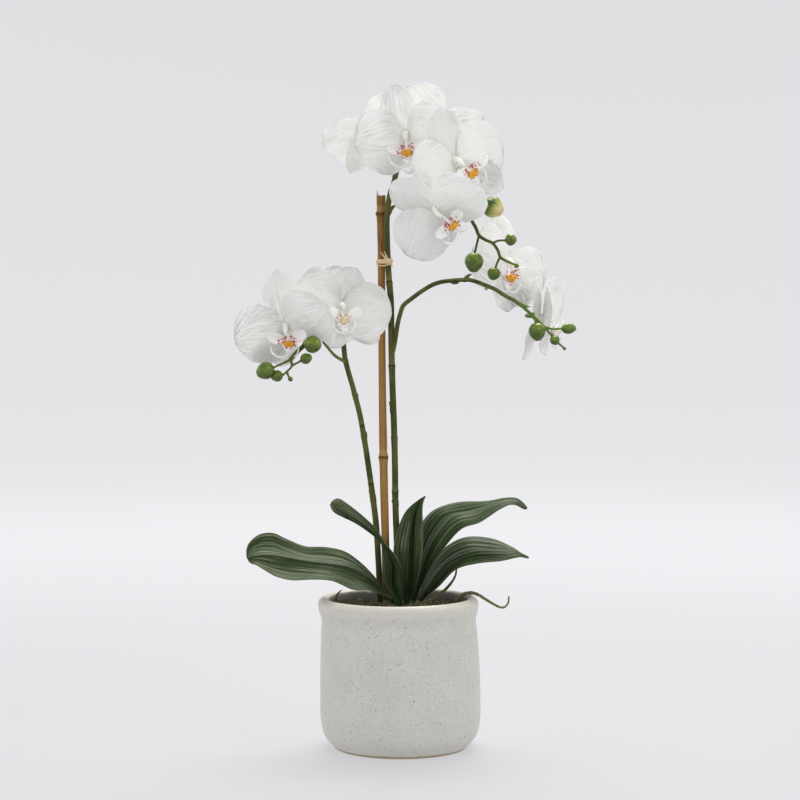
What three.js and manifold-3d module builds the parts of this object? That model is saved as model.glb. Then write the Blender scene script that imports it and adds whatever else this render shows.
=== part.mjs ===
// Potted moth orchid: a white orchid with two flower spikes in a round stoneware pot.
// Millimetres, +Z up. The origin is the centre of the pot's foot, and the front of the plant faces -Y.

import * as THREE from 'three';
import { mergeVertices } from 'three/addons/utils/BufferGeometryUtils.js';
import Module from 'manifold-3d';

const wasm = await Module();
wasm.setup();

// Driving dimensions

const CLEARANCE = 0.3; // between neighbours that rest on each other
const HOLE_CLEARANCE = 0.8; // round a stem in its hole in the soil

const POT = {
  segments: 32,
  soilSegments: 20,
  // radius and height from the middle of the foot, out round the body and over the rolled rim
  outside: [[60, 0], [63, 3.5], [69.8, 11.5], [73, 24], [73.6, 45], [73, 75], [71.6, 105], [70.6, 119],
    [73, 128], [72.8, 135], [68.5, 138.6], [64.4, 137.4], [62.8, 132]],
  // from the mouth down the wall to the floor
  inside: [[63.2, 124], [63.6, 90], [62, 16]],
  floor: 8,
  footHeight: 3, // below this the pot is true and flat, above it the thrown shape wanders
  height: 138.6,
  wander: 0.006, // share of the radius
  rimShift: -2.5, // the rim sits a little to the left of the foot
};

const SOIL = { edge: 126.5, dome: 5.5, domeRadius: 30, bump: 0.9, gap: 0.8, rings: [13, 29, 46] };

const PEDICEL = { radius: 1.25, shares: [1.3, 1, 1, 1.2] }; // shares of the radius from spike to bloom
const TWIG = { radius: 0.85, foot: 1.2 };
const BRACT = { middle: 0.85, tip: 0.4 };

const PETAL = { length: 46, width: 57, thickness: 0.7 };
const SEPAL = { length: 44, width: 34, thickness: 0.7 };
const SIDE_SEPAL = { length: 43, width: 30, thickness: 0.7 };

const LEAF = { middle: 1.8, edge: 0.9, rows: 11, columns: 6, rib: 0.3, arch: 0.16 };
const SLOT = { side: 1.2, thickness: 4.6 }; // its cut round the foot of a leaf

// How many sides the round things have
const SIDES = {
  hole: 8, stake: 7, stem: 6, spray: 5, twig: 4, pedicel: 4, bract: 5, bud: 7, root: 5, small: 5,
};

// Small helpers

const point = ([x, y, z]) => new THREE.Vector3(x, y, z);
const degrees = (angle) => THREE.MathUtils.degToRad(angle);
const mix = THREE.MathUtils.lerp;

function curveThrough(points) {
  return new THREE.CatmullRomCurve3(points.map(point), false, 'centripetal');
}

// The value at u of a list that is spread evenly from 0 to 1
function along(values, u) {
  const place = Math.min(Math.max(u, 0), 1) * (values.length - 1);
  const first = Math.min(Math.floor(place), values.length - 2);
  return mix(values[first], values[first + 1], place - first);
}

// Solids

function bareGeometry(geometry) {
  const bare = geometry.clone();
  bare.deleteAttribute('normal');
  bare.deleteAttribute('uv');
  return mergeVertices(bare, 1e-4);
}

function enclosedVolume(positions, triangles) {
  let volume = 0;
  const a = new THREE.Vector3();
  const b = new THREE.Vector3();
  const c = new THREE.Vector3();
  for (let i = 0; i < triangles.length; i += 3) {
    a.fromArray(positions, 3 * triangles[i]);
    b.fromArray(positions, 3 * triangles[i + 1]);
    c.fromArray(positions, 3 * triangles[i + 2]);
    volume += a.dot(b.cross(c)) / 6;
  }
  return volume;
}

// A closed mesh as a solid, with its faces pointing out
function solid(geometry) {
  const bare = bareGeometry(geometry);
  const vertProperties = new Float32Array(bare.attributes.position.array);
  const triVerts = new Uint32Array(bare.index.array);
  if (enclosedVolume(vertProperties, triVerts) < 0) triVerts.reverse();
  return new wasm.Manifold(new wasm.Mesh({ numProp: 3, vertProperties, triVerts }));
}

// Joined solids as one body: a hollow that the joining seals is filled, and a loose scrap is dropped
function fuse(solids) {
  const joined = solids.reduce((whole, piece) => whole.add(piece));
  const shells = joined.decompose();
  return shells.reduce((largest, shell) => (shell.volume() > largest.volume() ? shell : largest));
}

function geometryOf(body) {
  const mesh = body.getMesh();
  const geometry = new THREE.BufferGeometry();
  geometry.setAttribute('position', new THREE.BufferAttribute(new Float32Array(mesh.vertProperties), 3));
  geometry.setIndex(new THREE.BufferAttribute(new Uint32Array(mesh.triVerts), 1));
  geometry.computeVertexNormals();
  return geometry;
}

// A tube of changing radius along a curve, closed at both ends
function tube(curve, radii, sides, steps) {
  const frames = curve.computeFrenetFrames(steps, false);
  const positions = [];
  const triangles = [];
  for (let i = 0; i <= steps; i++) {
    const centre = curve.getPointAt(i / steps);
    const radius = along(radii, i / steps);
    for (let k = 0; k < sides; k++) {
      const turn = (2 * Math.PI * k) / sides;
      const rim = centre.clone();
      rim.addScaledVector(frames.normals[i], radius * Math.cos(turn));
      rim.addScaledVector(frames.binormals[i], radius * Math.sin(turn));
      positions.push(...rim.toArray());
    }
  }
  for (let i = 0; i < steps; i++) {
    for (let k = 0; k < sides; k++) {
      const a = i * sides + k;
      const b = i * sides + ((k + 1) % sides);
      triangles.push(a, b, b + sides, a, b + sides, a + sides);
    }
  }
  for (let k = 1; k < sides - 1; k++) {
    const end = steps * sides;
    triangles.push(0, k + 1, k);
    triangles.push(end, end + k, end + k + 1);
  }
  return indexed(positions, triangles);
}

function indexed(positions, triangles) {
  const geometry = new THREE.BufferGeometry();
  geometry.setAttribute('position', new THREE.Float32BufferAttribute(positions, 3));
  geometry.setIndex(triangles);
  return geometry;
}

// A thin blade round the surface that surface(u, v) gives, u from 0 to 1 and v from -1 to 1.
// Both faces are split into the same triangles.
function blade(surface, rows, columns, thicknessAt) {
  const step = 0.01;
  const positions = [];
  const triangles = [];
  const across = columns + 1;
  const back = (rows + 1) * across;
  const backPositions = [];
  for (let i = 0; i <= rows; i++) {
    for (let j = 0; j <= columns; j++) {
      const u = i / rows;
      const v = (2 * j) / columns - 1;
      const middle = surface(u, v);
      const lengthwise = surface(u + step, v).sub(surface(u - step, v));
      const sideways = surface(u, v + step).sub(surface(u, v - step));
      const normal = lengthwise.cross(sideways).normalize();
      const half = thicknessAt(u, v) / 2;
      positions.push(...middle.clone().addScaledVector(normal, half).toArray());
      backPositions.push(...middle.clone().addScaledVector(normal, -half).toArray());
    }
  }
  positions.push(...backPositions);
  for (let i = 0; i < rows; i++) {
    for (let j = 0; j < columns; j++) {
      const a = i * across + j;
      const b = a + 1;
      const c = a + across;
      const d = c + 1;
      triangles.push(a, c, d, a, d, b);
      triangles.push(back + a, back + d, back + c, back + a, back + b, back + d);
    }
  }
  const border = [];
  for (let j = 0; j < columns; j++) border.push(j);
  for (let i = 0; i < rows; i++) border.push(i * across + columns);
  for (let j = columns; j > 0; j--) border.push(rows * across + j);
  for (let i = rows; i > 0; i--) border.push(i * across);
  border.forEach((from, index) => {
    const to = border[(index + 1) % border.length];
    triangles.push(from, to, back + to, from, back + to, back + from);
  });
  return indexed(positions, triangles);
}

function lathe(profile, segments) {
  const geometry = new THREE.LatheGeometry(profile.map(([r, z]) => new THREE.Vector2(r, z)), segments);
  return geometry.rotateX(Math.PI / 2);
}

// Pot and soil

// Moves a turned shape the way a hand-thrown pot wanders from a true round
function throwByHand(geometry) {
  const position = geometry.attributes.position;
  for (let i = 0; i < position.count; i++) {
    const x = position.getX(i);
    const y = position.getY(i);
    const z = position.getZ(i);
    const rise = Math.max(0, (z - POT.footHeight) / (POT.height - POT.footHeight));
    const turn = Math.atan2(y, x);
    const slow = Math.sin(2 * turn + 0.7) * rise;
    const quick = 0.6 * Math.sin(3 * turn + 2.4 * rise) * Math.min(1, 3 * rise);
    const scale = 1 + POT.wander * (slow + quick);
    position.setXYZ(i, x * scale + POT.rimShift * rise * rise, y * scale, z);
  }
  return geometry;
}

function makePot() {
  const profile = [[0, 0], ...POT.outside, ...POT.inside, [0, POT.floor]];
  return solid(throwByHand(lathe(profile, POT.segments)));
}

function soilHeight(x, y) {
  const radius = Math.hypot(x, y);
  const crumbs = Math.sin(0.33 * x + 1.3) * Math.cos(0.29 * y) + 0.6 * Math.sin(0.21 * x - 0.43 * y);
  return SOIL.edge + SOIL.dome * Math.exp(-((radius / SOIL.domeRadius) ** 2)) + SOIL.bump * crumbs;
}

function makeSoil() {
  const wall = POT.inside.map(([radius, height]) => [radius - SOIL.gap, height]).reverse();
  const bottom = POT.floor + SOIL.gap;
  const edgeRadius = wall[wall.length - 1][0];
  const top = [edgeRadius, ...SOIL.rings.slice().reverse(), 0].map((radius) => [radius, SOIL.edge]);
  wall[0][1] += SOIL.gap;
  const geometry = lathe([[0, bottom], ...wall, ...top], POT.soilSegments);
  const position = geometry.attributes.position;
  for (let i = 0; i < position.count; i++) {
    const x = position.getX(i);
    const y = position.getY(i);
    if (position.getZ(i) > SOIL.edge - 0.01 && Math.hypot(x, y) < edgeRadius - 1) {
      position.setZ(i, soilHeight(x, y));
    }
  }
  return solid(throwByHand(geometry));
}

// A plain round hole along the straight foot of a stem
function hole(route, radius) {
  const bottom = point(route[0]);
  const top = point(route[1]);
  const down = bottom.clone().sub(top).normalize();
  const line = new THREE.LineCurve3(bottom.clone().addScaledVector(down, CLEARANCE), top);
  return solid(tube(line, [radius + HOLE_CLEARANCE, radius + HOLE_CLEARANCE], SIDES.hole, 1));
}

// Bamboo stake: a cane with node rings and one splinter at its top

const STAKE_ROUTE = [[-13, 15, 104], [-13.2, 15, 133], [-14, 14, 193], [-15.1, 12, 237],
  [-16.3, 9.5, 301], [-16.8, 8, 347], [-17.3, 6.5, 429], [-17.8, 6, 506]];
const STAKE_RADII = [3.5, 3.5, 3.6, 3.7, 3.7, 3.4, 3.3, 3.4, 3.5, 4.2];
const STAKE_NODES = [[-14.5, 13.2, 267], [-17.7, 6, 490]];
const STAKE_RING = [[0, -4], [3.5, -4], [4.7, 0], [3.5, 4], [0, 4]];
const SPLINTER = { route: [[-20.6, 5, 500], [-21, 5, 506], [-21.2, 5, 510.5]], radii: [1.1, 0.9, 0.3] };

function makeStake() {
  const cane = solid(tube(curveThrough(STAKE_ROUTE), STAKE_RADII, SIDES.stake, 10));
  const rings = STAKE_NODES.map(([x, y, z]) => {
    return solid(lathe(STAKE_RING, SIDES.stake).translate(x, y, z));
  });
  const splinter = tube(curveThrough(SPLINTER.route), SPLINTER.radii, SIDES.small, 2);
  return fuse([cane, ...rings, solid(splinter)]);
}

// Flower spikes

const TALL_STEM = [[-0.5, 18, 100], [-0.5, 17.5, 132], [-3.2, 14.5, 185], [-4.8, 11.5, 229],
  [-5, 9.5, 255], [-5.9, 6.5, 294], [-7.3, 4, 331], [-8.3, 2, 370], [-8.8, 1, 411], [-10.5, 0.5, 430],
  [-11.4, 0.5, 446], [-12.2, -0.5, 466], [-12.2, -1, 488], [-9.5, 4, 507], [-6, 8, 518], [-3, 10.5, 530],
  [6, 14, 546], [23, 15, 557], [41, 11, 556], [54, 3, 543], [61, -8, 520], [64, -15, 497],
  [64.4, -17, 483.5]];
const TALL_RADII = [3, 3, 3, 2.9, 2.9, 2.9, 2.9, 2.9, 2.8, 2.7, 2.6, 2.4, 2.2, 1.8, 1.6];
const TALL_SPRAY = [[64, -15.6, 490], [64.6, -17, 483], [68.2, -18, 476], [71, -18, 469.5],
  [76.7, -18, 465.5], [83.1, -18, 462.5], [88, -18, 456], [90.2, -18, 450], [95.9, -18, 446.4],
  [103.5, -18, 443]];
const SPRAY_RADII = [1.6, 1.6, 1.5, 1.4, 1.3, 1];

const BRANCH = [[-8, 3, 360], [-5.5, 0.5, 371], [-2.6, -2.5, 389], [0.2, -5, 400], [2.6, -6.5, 406],
  [10.4, -9, 412.5], [20.1, -11, 419.6], [28.8, -13, 424.7], [36.7, -15, 427.4], [47, -17, 428.8],
  [57.4, -19, 429.4], [64.1, -20, 429], [75.5, -20, 425], [85.9, -21, 420.6], [94.2, -22, 415.2],
  [102.5, -22, 411], [110.7, -22, 404.9], [118.5, -21, 397.9], [131, -20, 385.8], [137.1, -20, 378.6]];
const BRANCH_RADII = [2.3, 2.2, 2.1, 2, 2, 2, 1.9, 1.9, 1.8, 1.6, 1.3, 1];

const LEFT_STEM = [[-18.6, 23, 101], [-19, 22.5, 134.6], [-20.5, 20, 171], [-22.3, 17, 201],
  [-25.3, 14, 227.6], [-29, 11, 254.6], [-33.2, 8, 283], [-37.4, 5, 306.5], [-41.7, 3.5, 323.7],
  [-43.9, 2.5, 332.3], [-50.4, 2, 356], [-53, 3, 376], [-57.5, 4, 386], [-64.5, 4, 391.4],
  [-72.6, 1, 392.3], [-79.5, -9, 388], [-83.5, -24, 380.4], [-85.4, -38, 373.5], [-87.6, -45, 369.6],
  [-91.7, -48, 365.9], [-98.4, -49, 358.4]];
const LEFT_RADII = [2.9, 2.9, 2.8, 2.8, 2.7, 2.6, 2.5, 2.4, 2.3, 2.2, 2.1, 2];

// Thin side shoots that carry the buds, and the buds: centre, radius, length along the shoot
const TALL_TWIGS = [
  [[71, -18, 469.5], [69, -19, 462], [67, -19, 453]],
  [[83.1, -18, 462.5], [89, -19, 464.8], [95, -20, 465]],
  [[90.2, -18, 450], [87.5, -20, 445], [85.5, -20, 439]],
  [[56, 1, 540], [66, 0, 522], [72, -1.6, 508], [75.9, -3.8, 500.5]],
];
const TALL_BUDS = [
  { at: [66.4, -19, 445], from: [67, -19, 453], radius: 8.2, length: 18.4 },
  { at: [99.8, -20, 465.6], from: [95, -20, 465], radius: 5.2, length: 10.6 },
  { at: [84.3, -20, 434.7], from: [85.5, -20, 439], radius: 5.8, length: 11.8 },
  { at: [105, -18, 442.2], from: [101, -18, 444], radius: 2.2, length: 4.6 },
];
const CREAM_BUD = { at: [84.2, -6.8, 495], from: [79, -5, 498], radius: 9.3, length: 20 };

const BRANCH_TWIGS = [
  [[119, -21, 397], [121.5, -22, 393], [122.5, -22, 389]],
  [[131, -20, 386.5], [137, -18, 385], [146, -17, 385.2]],
  [[137.1, -20, 378.6], [141.5, -20, 373.5], [147, -19, 368.6]],
];
const BRANCH_BUDS = [
  { at: [123.5, -21.5, 382.3], from: [122.5, -22, 390], radius: 7.4, length: 16.8 },
  { at: [152.7, -16, 385.3], from: [146, -17, 385.2], radius: 4.8, length: 13.6 },
  { at: [139.8, -20, 374.6], from: [136, -20, 380], radius: 4.4, length: 9 },
  { at: [148.5, -19, 367.2], from: [146.5, -19, 369], radius: 1.5, length: 3.4 },
];

const LEFT_TWIGS = [
  [[-98.4, -49, 358.4], [-105, -50, 355], [-113, -51, 351.5]],
  [[-98.4, -49, 358.4], [-97, -49.5, 353], [-101, -49, 348], [-104.5, -49, 345]],
  [[-97.2, -49.4, 353], [-92, -50, 355.5], [-89, -50, 357.2]],
  [[-101.5, -49, 347.5], [-100.4, -48.5, 344], [-98.7, -48, 341.4]],
  [[-87, -44, 370.2], [-84.5, -48, 371.8], [-81, -53, 372.2]],
];
const LEFT_BUDS = [
  { at: [-77.6, -56, 372], from: [-83.8, -51, 372.5], radius: 7.6, length: 15.4 },
  { at: [-120.8, -51, 348.2], from: [-113, -51, 351.5], radius: 7.5, length: 17 },
  { at: [-110.6, -49.5, 343.6], from: [-104.5, -49, 345], radius: 5, length: 11 },
  { at: [-84.1, -50, 359.4], from: [-89, -50, 357.2], radius: 4.7, length: 11 },
  { at: [-98.4, -48, 340.8], from: [-99.5, -48.2, 342.6], radius: 2.2, length: 4.6 },
];

// Papery bracts at the nodes: foot, tip and width at the foot
const TALL_BRACTS = [
  [[-5, 11, 226], [-1.6, 9.6, 221], 3.2],
  [[-6.6, 5.6, 308], [-10.4, 2.6, 318], 3.0],
  [[-11, -1, 489], [-3.4, -2, 498], 2.1],
  [[-5.5, 8.4, 521], [-1.5, 6.4, 532], 2.2],
];
const BRANCH_BRACTS = [
  [[58, -19, 429], [64.4, -20.5, 434.8], 1.9],
  [[45, -17, 428.5], [53, -20, 426.6], 1.8],
  [[107.5, -22, 408], [117.2, -23, 405.2], 1.6],
];
const LEFT_BRACTS = [
  [[-25, 14, 226], [-29.2, 12.6, 236], 3.0],
  [[-33.4, 7.6, 284], [-34.6, 4.8, 293], 2.8],
  [[-42, 3, 325], [-38.4, 1.6, 323.6], 2.6],
];

// An egg-shaped bud, a little narrower towards its tip, as shares of its radius and length
const BUD_SHAPE = [[0, -0.5], [0.68, -0.38], [1, -0.05], [0.75, 0.31], [0, 0.5]];

function bud({ at, from, radius, length }) {
  const profile = BUD_SHAPE.map(([across, height]) => [across * radius, height * length]);
  const geometry = lathe(profile, SIDES.bud);
  const direction = point(at).sub(point(from)).normalize();
  const up = new THREE.Vector3(0, 0, 1);
  geometry.applyQuaternion(new THREE.Quaternion().setFromUnitVectors(up, direction));
  return solid(geometry.translate(...at));
}

function bract([foot, tip, radius]) {
  const middle = point(foot).lerp(point(tip), 0.5).toArray();
  const radii = [radius, radius * BRACT.middle, BRACT.tip];
  return solid(tube(curveThrough([foot, middle, tip]), radii, SIDES.bract, 2));
}

function twig(route) {
  const radii = [TWIG.foot * TWIG.radius, TWIG.radius, TWIG.radius];
  return solid(tube(curveThrough(route), radii, SIDES.twig, route.length));
}

// Blooms. In a bloom's own frame x is its right, y its top and z is out of its face.
// turn, tilt and roll are degrees: turned to the right, face tipped up, rolled anticlockwise.
// angles and lifts have a value each for its top sepal, left and right petal, left and right side sepal:
// the direction anticlockwise from its top, and how steeply it rises towards the front.
// reach, where it is given, has each tepal's length as a share of its kind's, and lean is how far
// right and up its lip leans.
// stem is the route of its pedicel from the spike.

const BLOOMS = [
  { name: 'a', spike: 'tall', at: [5.5, -16, 560.5], turn: -6, tilt: -10, roll: 7, size: 1.01,
    angles: [8, 94, -86, 137, -143], lifts: [0.1, 0.35, 0.35, 0.1, 0.1],
    stem: [[14, 14, 551], [12, 3, 560]] },
  { name: 'b', spike: 'tall', at: [48, -38, 535], turn: 29, tilt: -5, roll: 35, size: 1.08,
    angles: [-18, 80, -108, 143, -149], lifts: [0.05, 0.4, 0.2, 0.1, 0.35], reach: [1, 1, 1, 1, 1.12],
    lean: [2, 2], stem: [[54, 3, 542], [55, -15, 536]] },
  { name: 'c', spike: 'tall', at: [31, -72, 492], turn: 11, tilt: -27, roll: 55, size: 0.98,
    angles: [10, 94, -103, 143, -140], lifts: [-0.05, 0.5, 0.55, 0.1, 0.25],
    lean: [1, -2], stem: [[64.5, -15, 488], [58, -34, 487], [47, -52, 489], [37, -63, 492]] },
  { name: 'd', spike: 'tall', at: [-25, 34, 566.5], turn: 215, tilt: 37, roll: -24, size: 0.99,
    angles: [16, 84, -107, 143, -137], lifts: [0.15, 0.35, 0.45, 0.1, 0],
    stem: [[-2, 10.5, 530], [-13, 18, 545]] },
  { name: 'e', spike: 'tall', at: [27.5, 69, 566.5], turn: 173, tilt: -1, roll: 67, size: 0.98,
    angles: [9, 84, -95, 143, -143], lifts: [0.1, 0.35, 0.35, 0.1, 0.1], reach: [1.2, 1, 1.1, 1, 1],
    stem: [[32, 13, 557.5], [34, 30, 566]] },
  { name: 'f', spike: 'left', at: [-102.5, -42, 389], turn: -1, tilt: -24, roll: 5, size: 1,
    angles: [4, 99, -63, 139, -194], lifts: [-0.15, 0.4, 0.5, 0.3, 0.1], reach: [1.07, 1, 1, 1, 1],
    lean: [2, 3.5], stem: [[-50.5, 1.5, 354.5], [-59.5, -3, 360], [-67.5, -10, 369.5], [-76, -20, 380]] },
  { name: 'g', spike: 'left', at: [-55.5, -14, 403], turn: 23, tilt: 18, roll: 0, size: 0.97,
    angles: [-27, 63, -100, 157, -130], lifts: [0.25, 0.4, 0.45, 0.45, 0.15], reach: [1, 1.04, 1, 1, 1.1],
    lean: [-3, -2], stem: [[-57.5, 4, 385], [-60, 0, 392]] },
  { name: 'h', spike: 'left', at: [-62, 32, 402.5], turn: 172, tilt: 0, roll: 86, size: 0.85,
    angles: [0, 84, -84, 143, -143], lifts: [0.1, 0.35, 0.35, 0.1, 0.1], reach: [1, 0.85, 1, 1, 1],
    stem: [[-64.5, 4, 391], [-58, 12, 398]] },
  { name: 'i', spike: 'tall', at: [95.5, 34, 445], turn: 37, tilt: 0, roll: -7, size: 1.04,
    angles: [13, 82, -113, 192, -142], lifts: [0.05, 0.4, 0.25, 0.25, 0.3],
    lean: [-4, 0], stem: [[79, -20.5, 423.5], [79, 5, 421.5], [79, 30, 422], [83, 45, 432]] },
  { name: 'j', spike: 'tall', at: [128.5, 38, 394.5], turn: 74, tilt: -5, roll: 8, size: 1,
    angles: [32, 78, -73, 148, -147], lifts: [0.2, 0.6, 0.4, 0.05, 0.3],
    stem: [[118, -21, 398.5], [119, 0, 398], [119.5, 24, 397.5]] },
];

const BLOOM_BACK = -7; // where the pedicel meets the back of a bloom
const BLOOM_FRONT = 4.6; // the flat that the lip sits against
const HEART = [[0, BLOOM_BACK], [1.8, BLOOM_BACK], [4.9, -0.8], [4.9, BLOOM_FRONT], [0, BLOOM_FRONT]];
const COLUMN = { route: [[0, 1.1, 1.8], [0, 3.7, 8.4], [0, 3.2, 13.8]], radii: [1.5, 2.7, 1.7] };
const BOW_CENTRE = 0.35; // the share of a tepal's length where its rows run straight across
const RIPPLE = { rate: 7, offset: 1.3 }; // along a tepal's edge, and between its two edges

// The nested groups that turn, tilt and roll a bloom, as the outer and the inner one
function bloomGroups(bloom) {
  const turned = new THREE.Group();
  turned.position.set(...bloom.at);
  turned.rotation.z = degrees(bloom.turn);
  const tilted = new THREE.Group();
  tilted.rotation.x = degrees(90 - bloom.tilt);
  const rolled = new THREE.Group();
  rolled.rotation.z = degrees(bloom.roll);
  rolled.scale.setScalar(bloom.size);
  tilted.add(rolled);
  turned.add(tilted);
  turned.updateMatrixWorld(true);
  return [turned, rolled];
}

// A rounded tepal: rows across its length, each with a width that is a share of its full width
function tepal(size, angle, lift, reach, base, form) {
  const direction = new THREE.Vector2(-Math.sin(degrees(angle)), Math.cos(degrees(angle)));
  const sideways = new THREE.Vector2(Math.cos(degrees(angle)), Math.sin(degrees(angle)));
  const rows = form.outline.length - 1;
  const surface = (u, v) => {
    const [far, width] = outlineAt(form.outline, u);
    const out = reach * size.length * (far + form.bow * (far - BOW_CENTRE) * (1 - v * v));
    const side = 0.5 * size.width * width * v;
    const rise = size.length * (lift * far - form.bend * far * far);
    const phase = form.phase + (v < 0 ? RIPPLE.offset : 0);
    const ripple = form.wave * Math.sin(RIPPLE.rate * far + phase) * v * v * far;
    const x = direction.x * out + sideways.x * side;
    const y = direction.y * out + sideways.y * side;
    return new THREE.Vector3(x, y, base + rise + form.cup * width * width * v * v + ripple);
  };
  return solid(blade(surface, rows, form.columns, () => size.thickness));
}

// An outline's length and width shares at u, spread evenly over its rows
function outlineAt(outline, u) {
  return [0, 1].map((column) => along(outline.map((row) => row[column]), u));
}

const PETAL_FORM = {
  outline: [[0.03, 0.12], [0.15, 0.62], [0.38, 0.96], [0.62, 1], [0.84, 0.78], [0.96, 0.4]],
  columns: 2, bow: 0.08, bend: 0.2, cup: -4.5, wave: 1.4, phase: 0.6,
};
const SEPAL_FORM = {
  outline: [[0.03, 0.2], [0.28, 0.7], [0.58, 1], [0.83, 0.8], [0.98, 0.34]],
  columns: 2, bow: 0.05, bend: 0.22, cup: -2.5, wave: 0.8, phase: 1.8,
};

// The two petals stand in front of the three sepals
const TEPALS = [
  { size: SEPAL, base: 0.4, form: SEPAL_FORM },
  { size: PETAL, base: 2.4, form: PETAL_FORM },
  { size: PETAL, base: 2.9, form: PETAL_FORM },
  { size: SIDE_SEPAL, base: 0, form: SEPAL_FORM },
  { size: SIDE_SEPAL, base: 0.7, form: SEPAL_FORM },
];

// The tepals of a bloom, with the heart that they grow from and its column
function makeBloom(bloom) {
  const heart = lathe(HEART, 6);
  const column = tube(curveThrough(COLUMN.route), COLUMN.radii, SIDES.small, 2);
  const reach = bloom.reach ?? [1, 1, 1, 1, 1];
  const tepals = TEPALS.map(({ size, base, form }, index) => (
    tepal(size, bloom.angles[index], bloom.lifts[index], reach[index], base, form)));
  return fuse([solid(heart), solid(column), ...tepals]);
}

// Lip: a claw, and one blade with a pointed middle lobe and two raised side lobes

const LIP_SEAT = BLOOM_FRONT + CLEARANCE;
const LIP_HEART = [0, -11.5, 13];
// the blade's reach from its heart at even turns, from one side of the claw round the tip to the other
const LIP_REACH = [2.6, 15, 18.5, 6.6, 15.5, 6.6, 18.5, 15, 2.6];
const LIP_FAN = 150;
const LIP_THICKNESS = 0.8;
// the side lobes stand up and forward, the middle lobe lies out
const LIP_SIDE = { full: 0.45, forward: 0.42, across: 0.9, up: 0.22, down: 0.8 };
const LIP_MIDDLE = { forward: 0.42, droop: 0.022 };
const CLAW = { radius: 1.9, route: [[0, -3, LIP_SEAT + 1.2], [0, -5.4, 9.4], [0, -12.6, 14]] };

function lipSurface(u, v) {
  const turn = degrees(LIP_FAN * v);
  const reach = mix(0.6 * CLAW.radius, along(LIP_REACH, (v + 1) / 2), u);
  const raised = Math.sin(turn) ** 2 * Math.min(1, Math.abs(v) / LIP_SIDE.full);
  const forward = mix(LIP_MIDDLE.forward - LIP_MIDDLE.droop * reach, LIP_SIDE.forward, raised) * reach;
  const across = reach * Math.sin(turn) * mix(1, LIP_SIDE.across, raised);
  const up = reach * (LIP_SIDE.up * raised - Math.cos(turn) * mix(1, LIP_SIDE.down, raised));
  return new THREE.Vector3(across, LIP_HEART[1] + up, LIP_HEART[2] + forward);
}

const leanOf = (bloom) => bloom.lean ?? [0, 0];

function makeLip(bloom) {
  const above = LIP_SEAT + 2;
  const foot = [[0, LIP_SEAT], [CLAW.radius - 0.4, LIP_SEAT], [CLAW.radius, above], [0, above]];
  const [right, up] = leanOf(bloom);
  const route = CLAW.route.map(([x, y, z], index) => {
    const share = index / (CLAW.route.length - 1);
    return [x + right * share, y + up * share, z];
  });
  return fuse([
    solid(lathe(foot, SIDES.small).translate(0, CLAW.route[0][1], 0)),
    solid(tube(curveThrough(route), [CLAW.radius, 1.15 * CLAW.radius], SIDES.small, 3)),
    solid(blade(lipSurface, 1, LIP_REACH.length - 1, () => LIP_THICKNESS).translate(right, up, 0)),
  ]);
}

// The callus: a blunt lump on the lip, between its side lobes
const CALLUS = { shape: [[0, -1.8], [3.5, -0.8], [3, 1.2], [0, 2.4]], broad: 1.35, at: [0, -14.4, 17.2] };

function makeCallus(bloom) {
  const lump = lathe(CALLUS.shape, 6).scale(CALLUS.broad, 1, 1).translate(...CALLUS.at);
  return solid(lump.translate(...leanOf(bloom), 0));
}

// The route of a pedicel from the spike to the back of its bloom
function pedicelRoute(bloom) {
  const inner = bloomGroups(bloom)[1];
  const behind = [BLOOM_BACK - 5, BLOOM_BACK - CLEARANCE / bloom.size]
    .map((depth) => inner.localToWorld(new THREE.Vector3(0, 0, depth)).toArray());
  return [...bloom.stem, ...behind];
}

function pedicels(spike) {
  const radii = PEDICEL.shares.map((share) => share * PEDICEL.radius);
  return BLOOMS.filter((bloom) => bloom.spike === spike).map((bloom) => {
    const steps = bloom.stem.length + 2;
    return solid(tube(curveThrough(pedicelRoute(bloom)), radii, SIDES.pedicel, steps));
  });
}

function makeTallSpike() {
  return fuse([
    solid(tube(curveThrough(TALL_STEM), TALL_RADII, SIDES.stem, 24)),
    solid(tube(curveThrough(TALL_SPRAY), SPRAY_RADII, SIDES.spray, 11)),
    solid(tube(curveThrough(BRANCH), BRANCH_RADII, SIDES.stem, 16)),
    ...[...TALL_TWIGS, ...BRANCH_TWIGS].map(twig),
    ...[...TALL_BUDS, ...BRANCH_BUDS].map(bud),
    ...[...TALL_BRACTS, ...BRANCH_BRACTS].map(bract),
    ...pedicels('tall'),
  ]);
}

function makeLeftSpike() {
  return fuse([
    solid(tube(curveThrough(LEFT_STEM), LEFT_RADII, SIDES.stem, 20)),
    ...LEFT_TWIGS.map(twig),
    ...LEFT_BUDS.map(bud),
    ...LEFT_BRACTS.map(bract),
    ...pedicels('left'),
  ]);
}

// Raffia tie round the stake and the tall stem

const TIE = { height: 446, strand: 0.9, sides: 4, steps: 13, corners: 16 };
const TIE_HELD = [{ x: -17.5, y: 6.4, radius: 3.5 }, { x: -11.5, y: 0.5, radius: 2.9 }];

// One turn of the tie: the outline round both stems, a little past its own start
function tieTurn(rise, tilt) {
  const route = [];
  for (let i = 0; i <= TIE.corners + 1; i++) {
    const turn = (2 * Math.PI * i) / TIE.corners;
    const out = new THREE.Vector2(Math.cos(turn), Math.sin(turn));
    const reach = (held) => held.x * out.x + held.y * out.y + held.radius;
    const [first, second] = TIE_HELD;
    const held = reach(first) > reach(second) ? first : second;
    const radius = held.radius + 2 * CLEARANCE + TIE.strand;
    const height = TIE.height + rise + tilt * Math.cos(turn);
    route.push([held.x + radius * out.x, held.y + radius * out.y, height]);
  }
  return solid(tube(curveThrough(route), [TIE.strand, TIE.strand], TIE.sides, TIE.steps));
}

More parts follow.
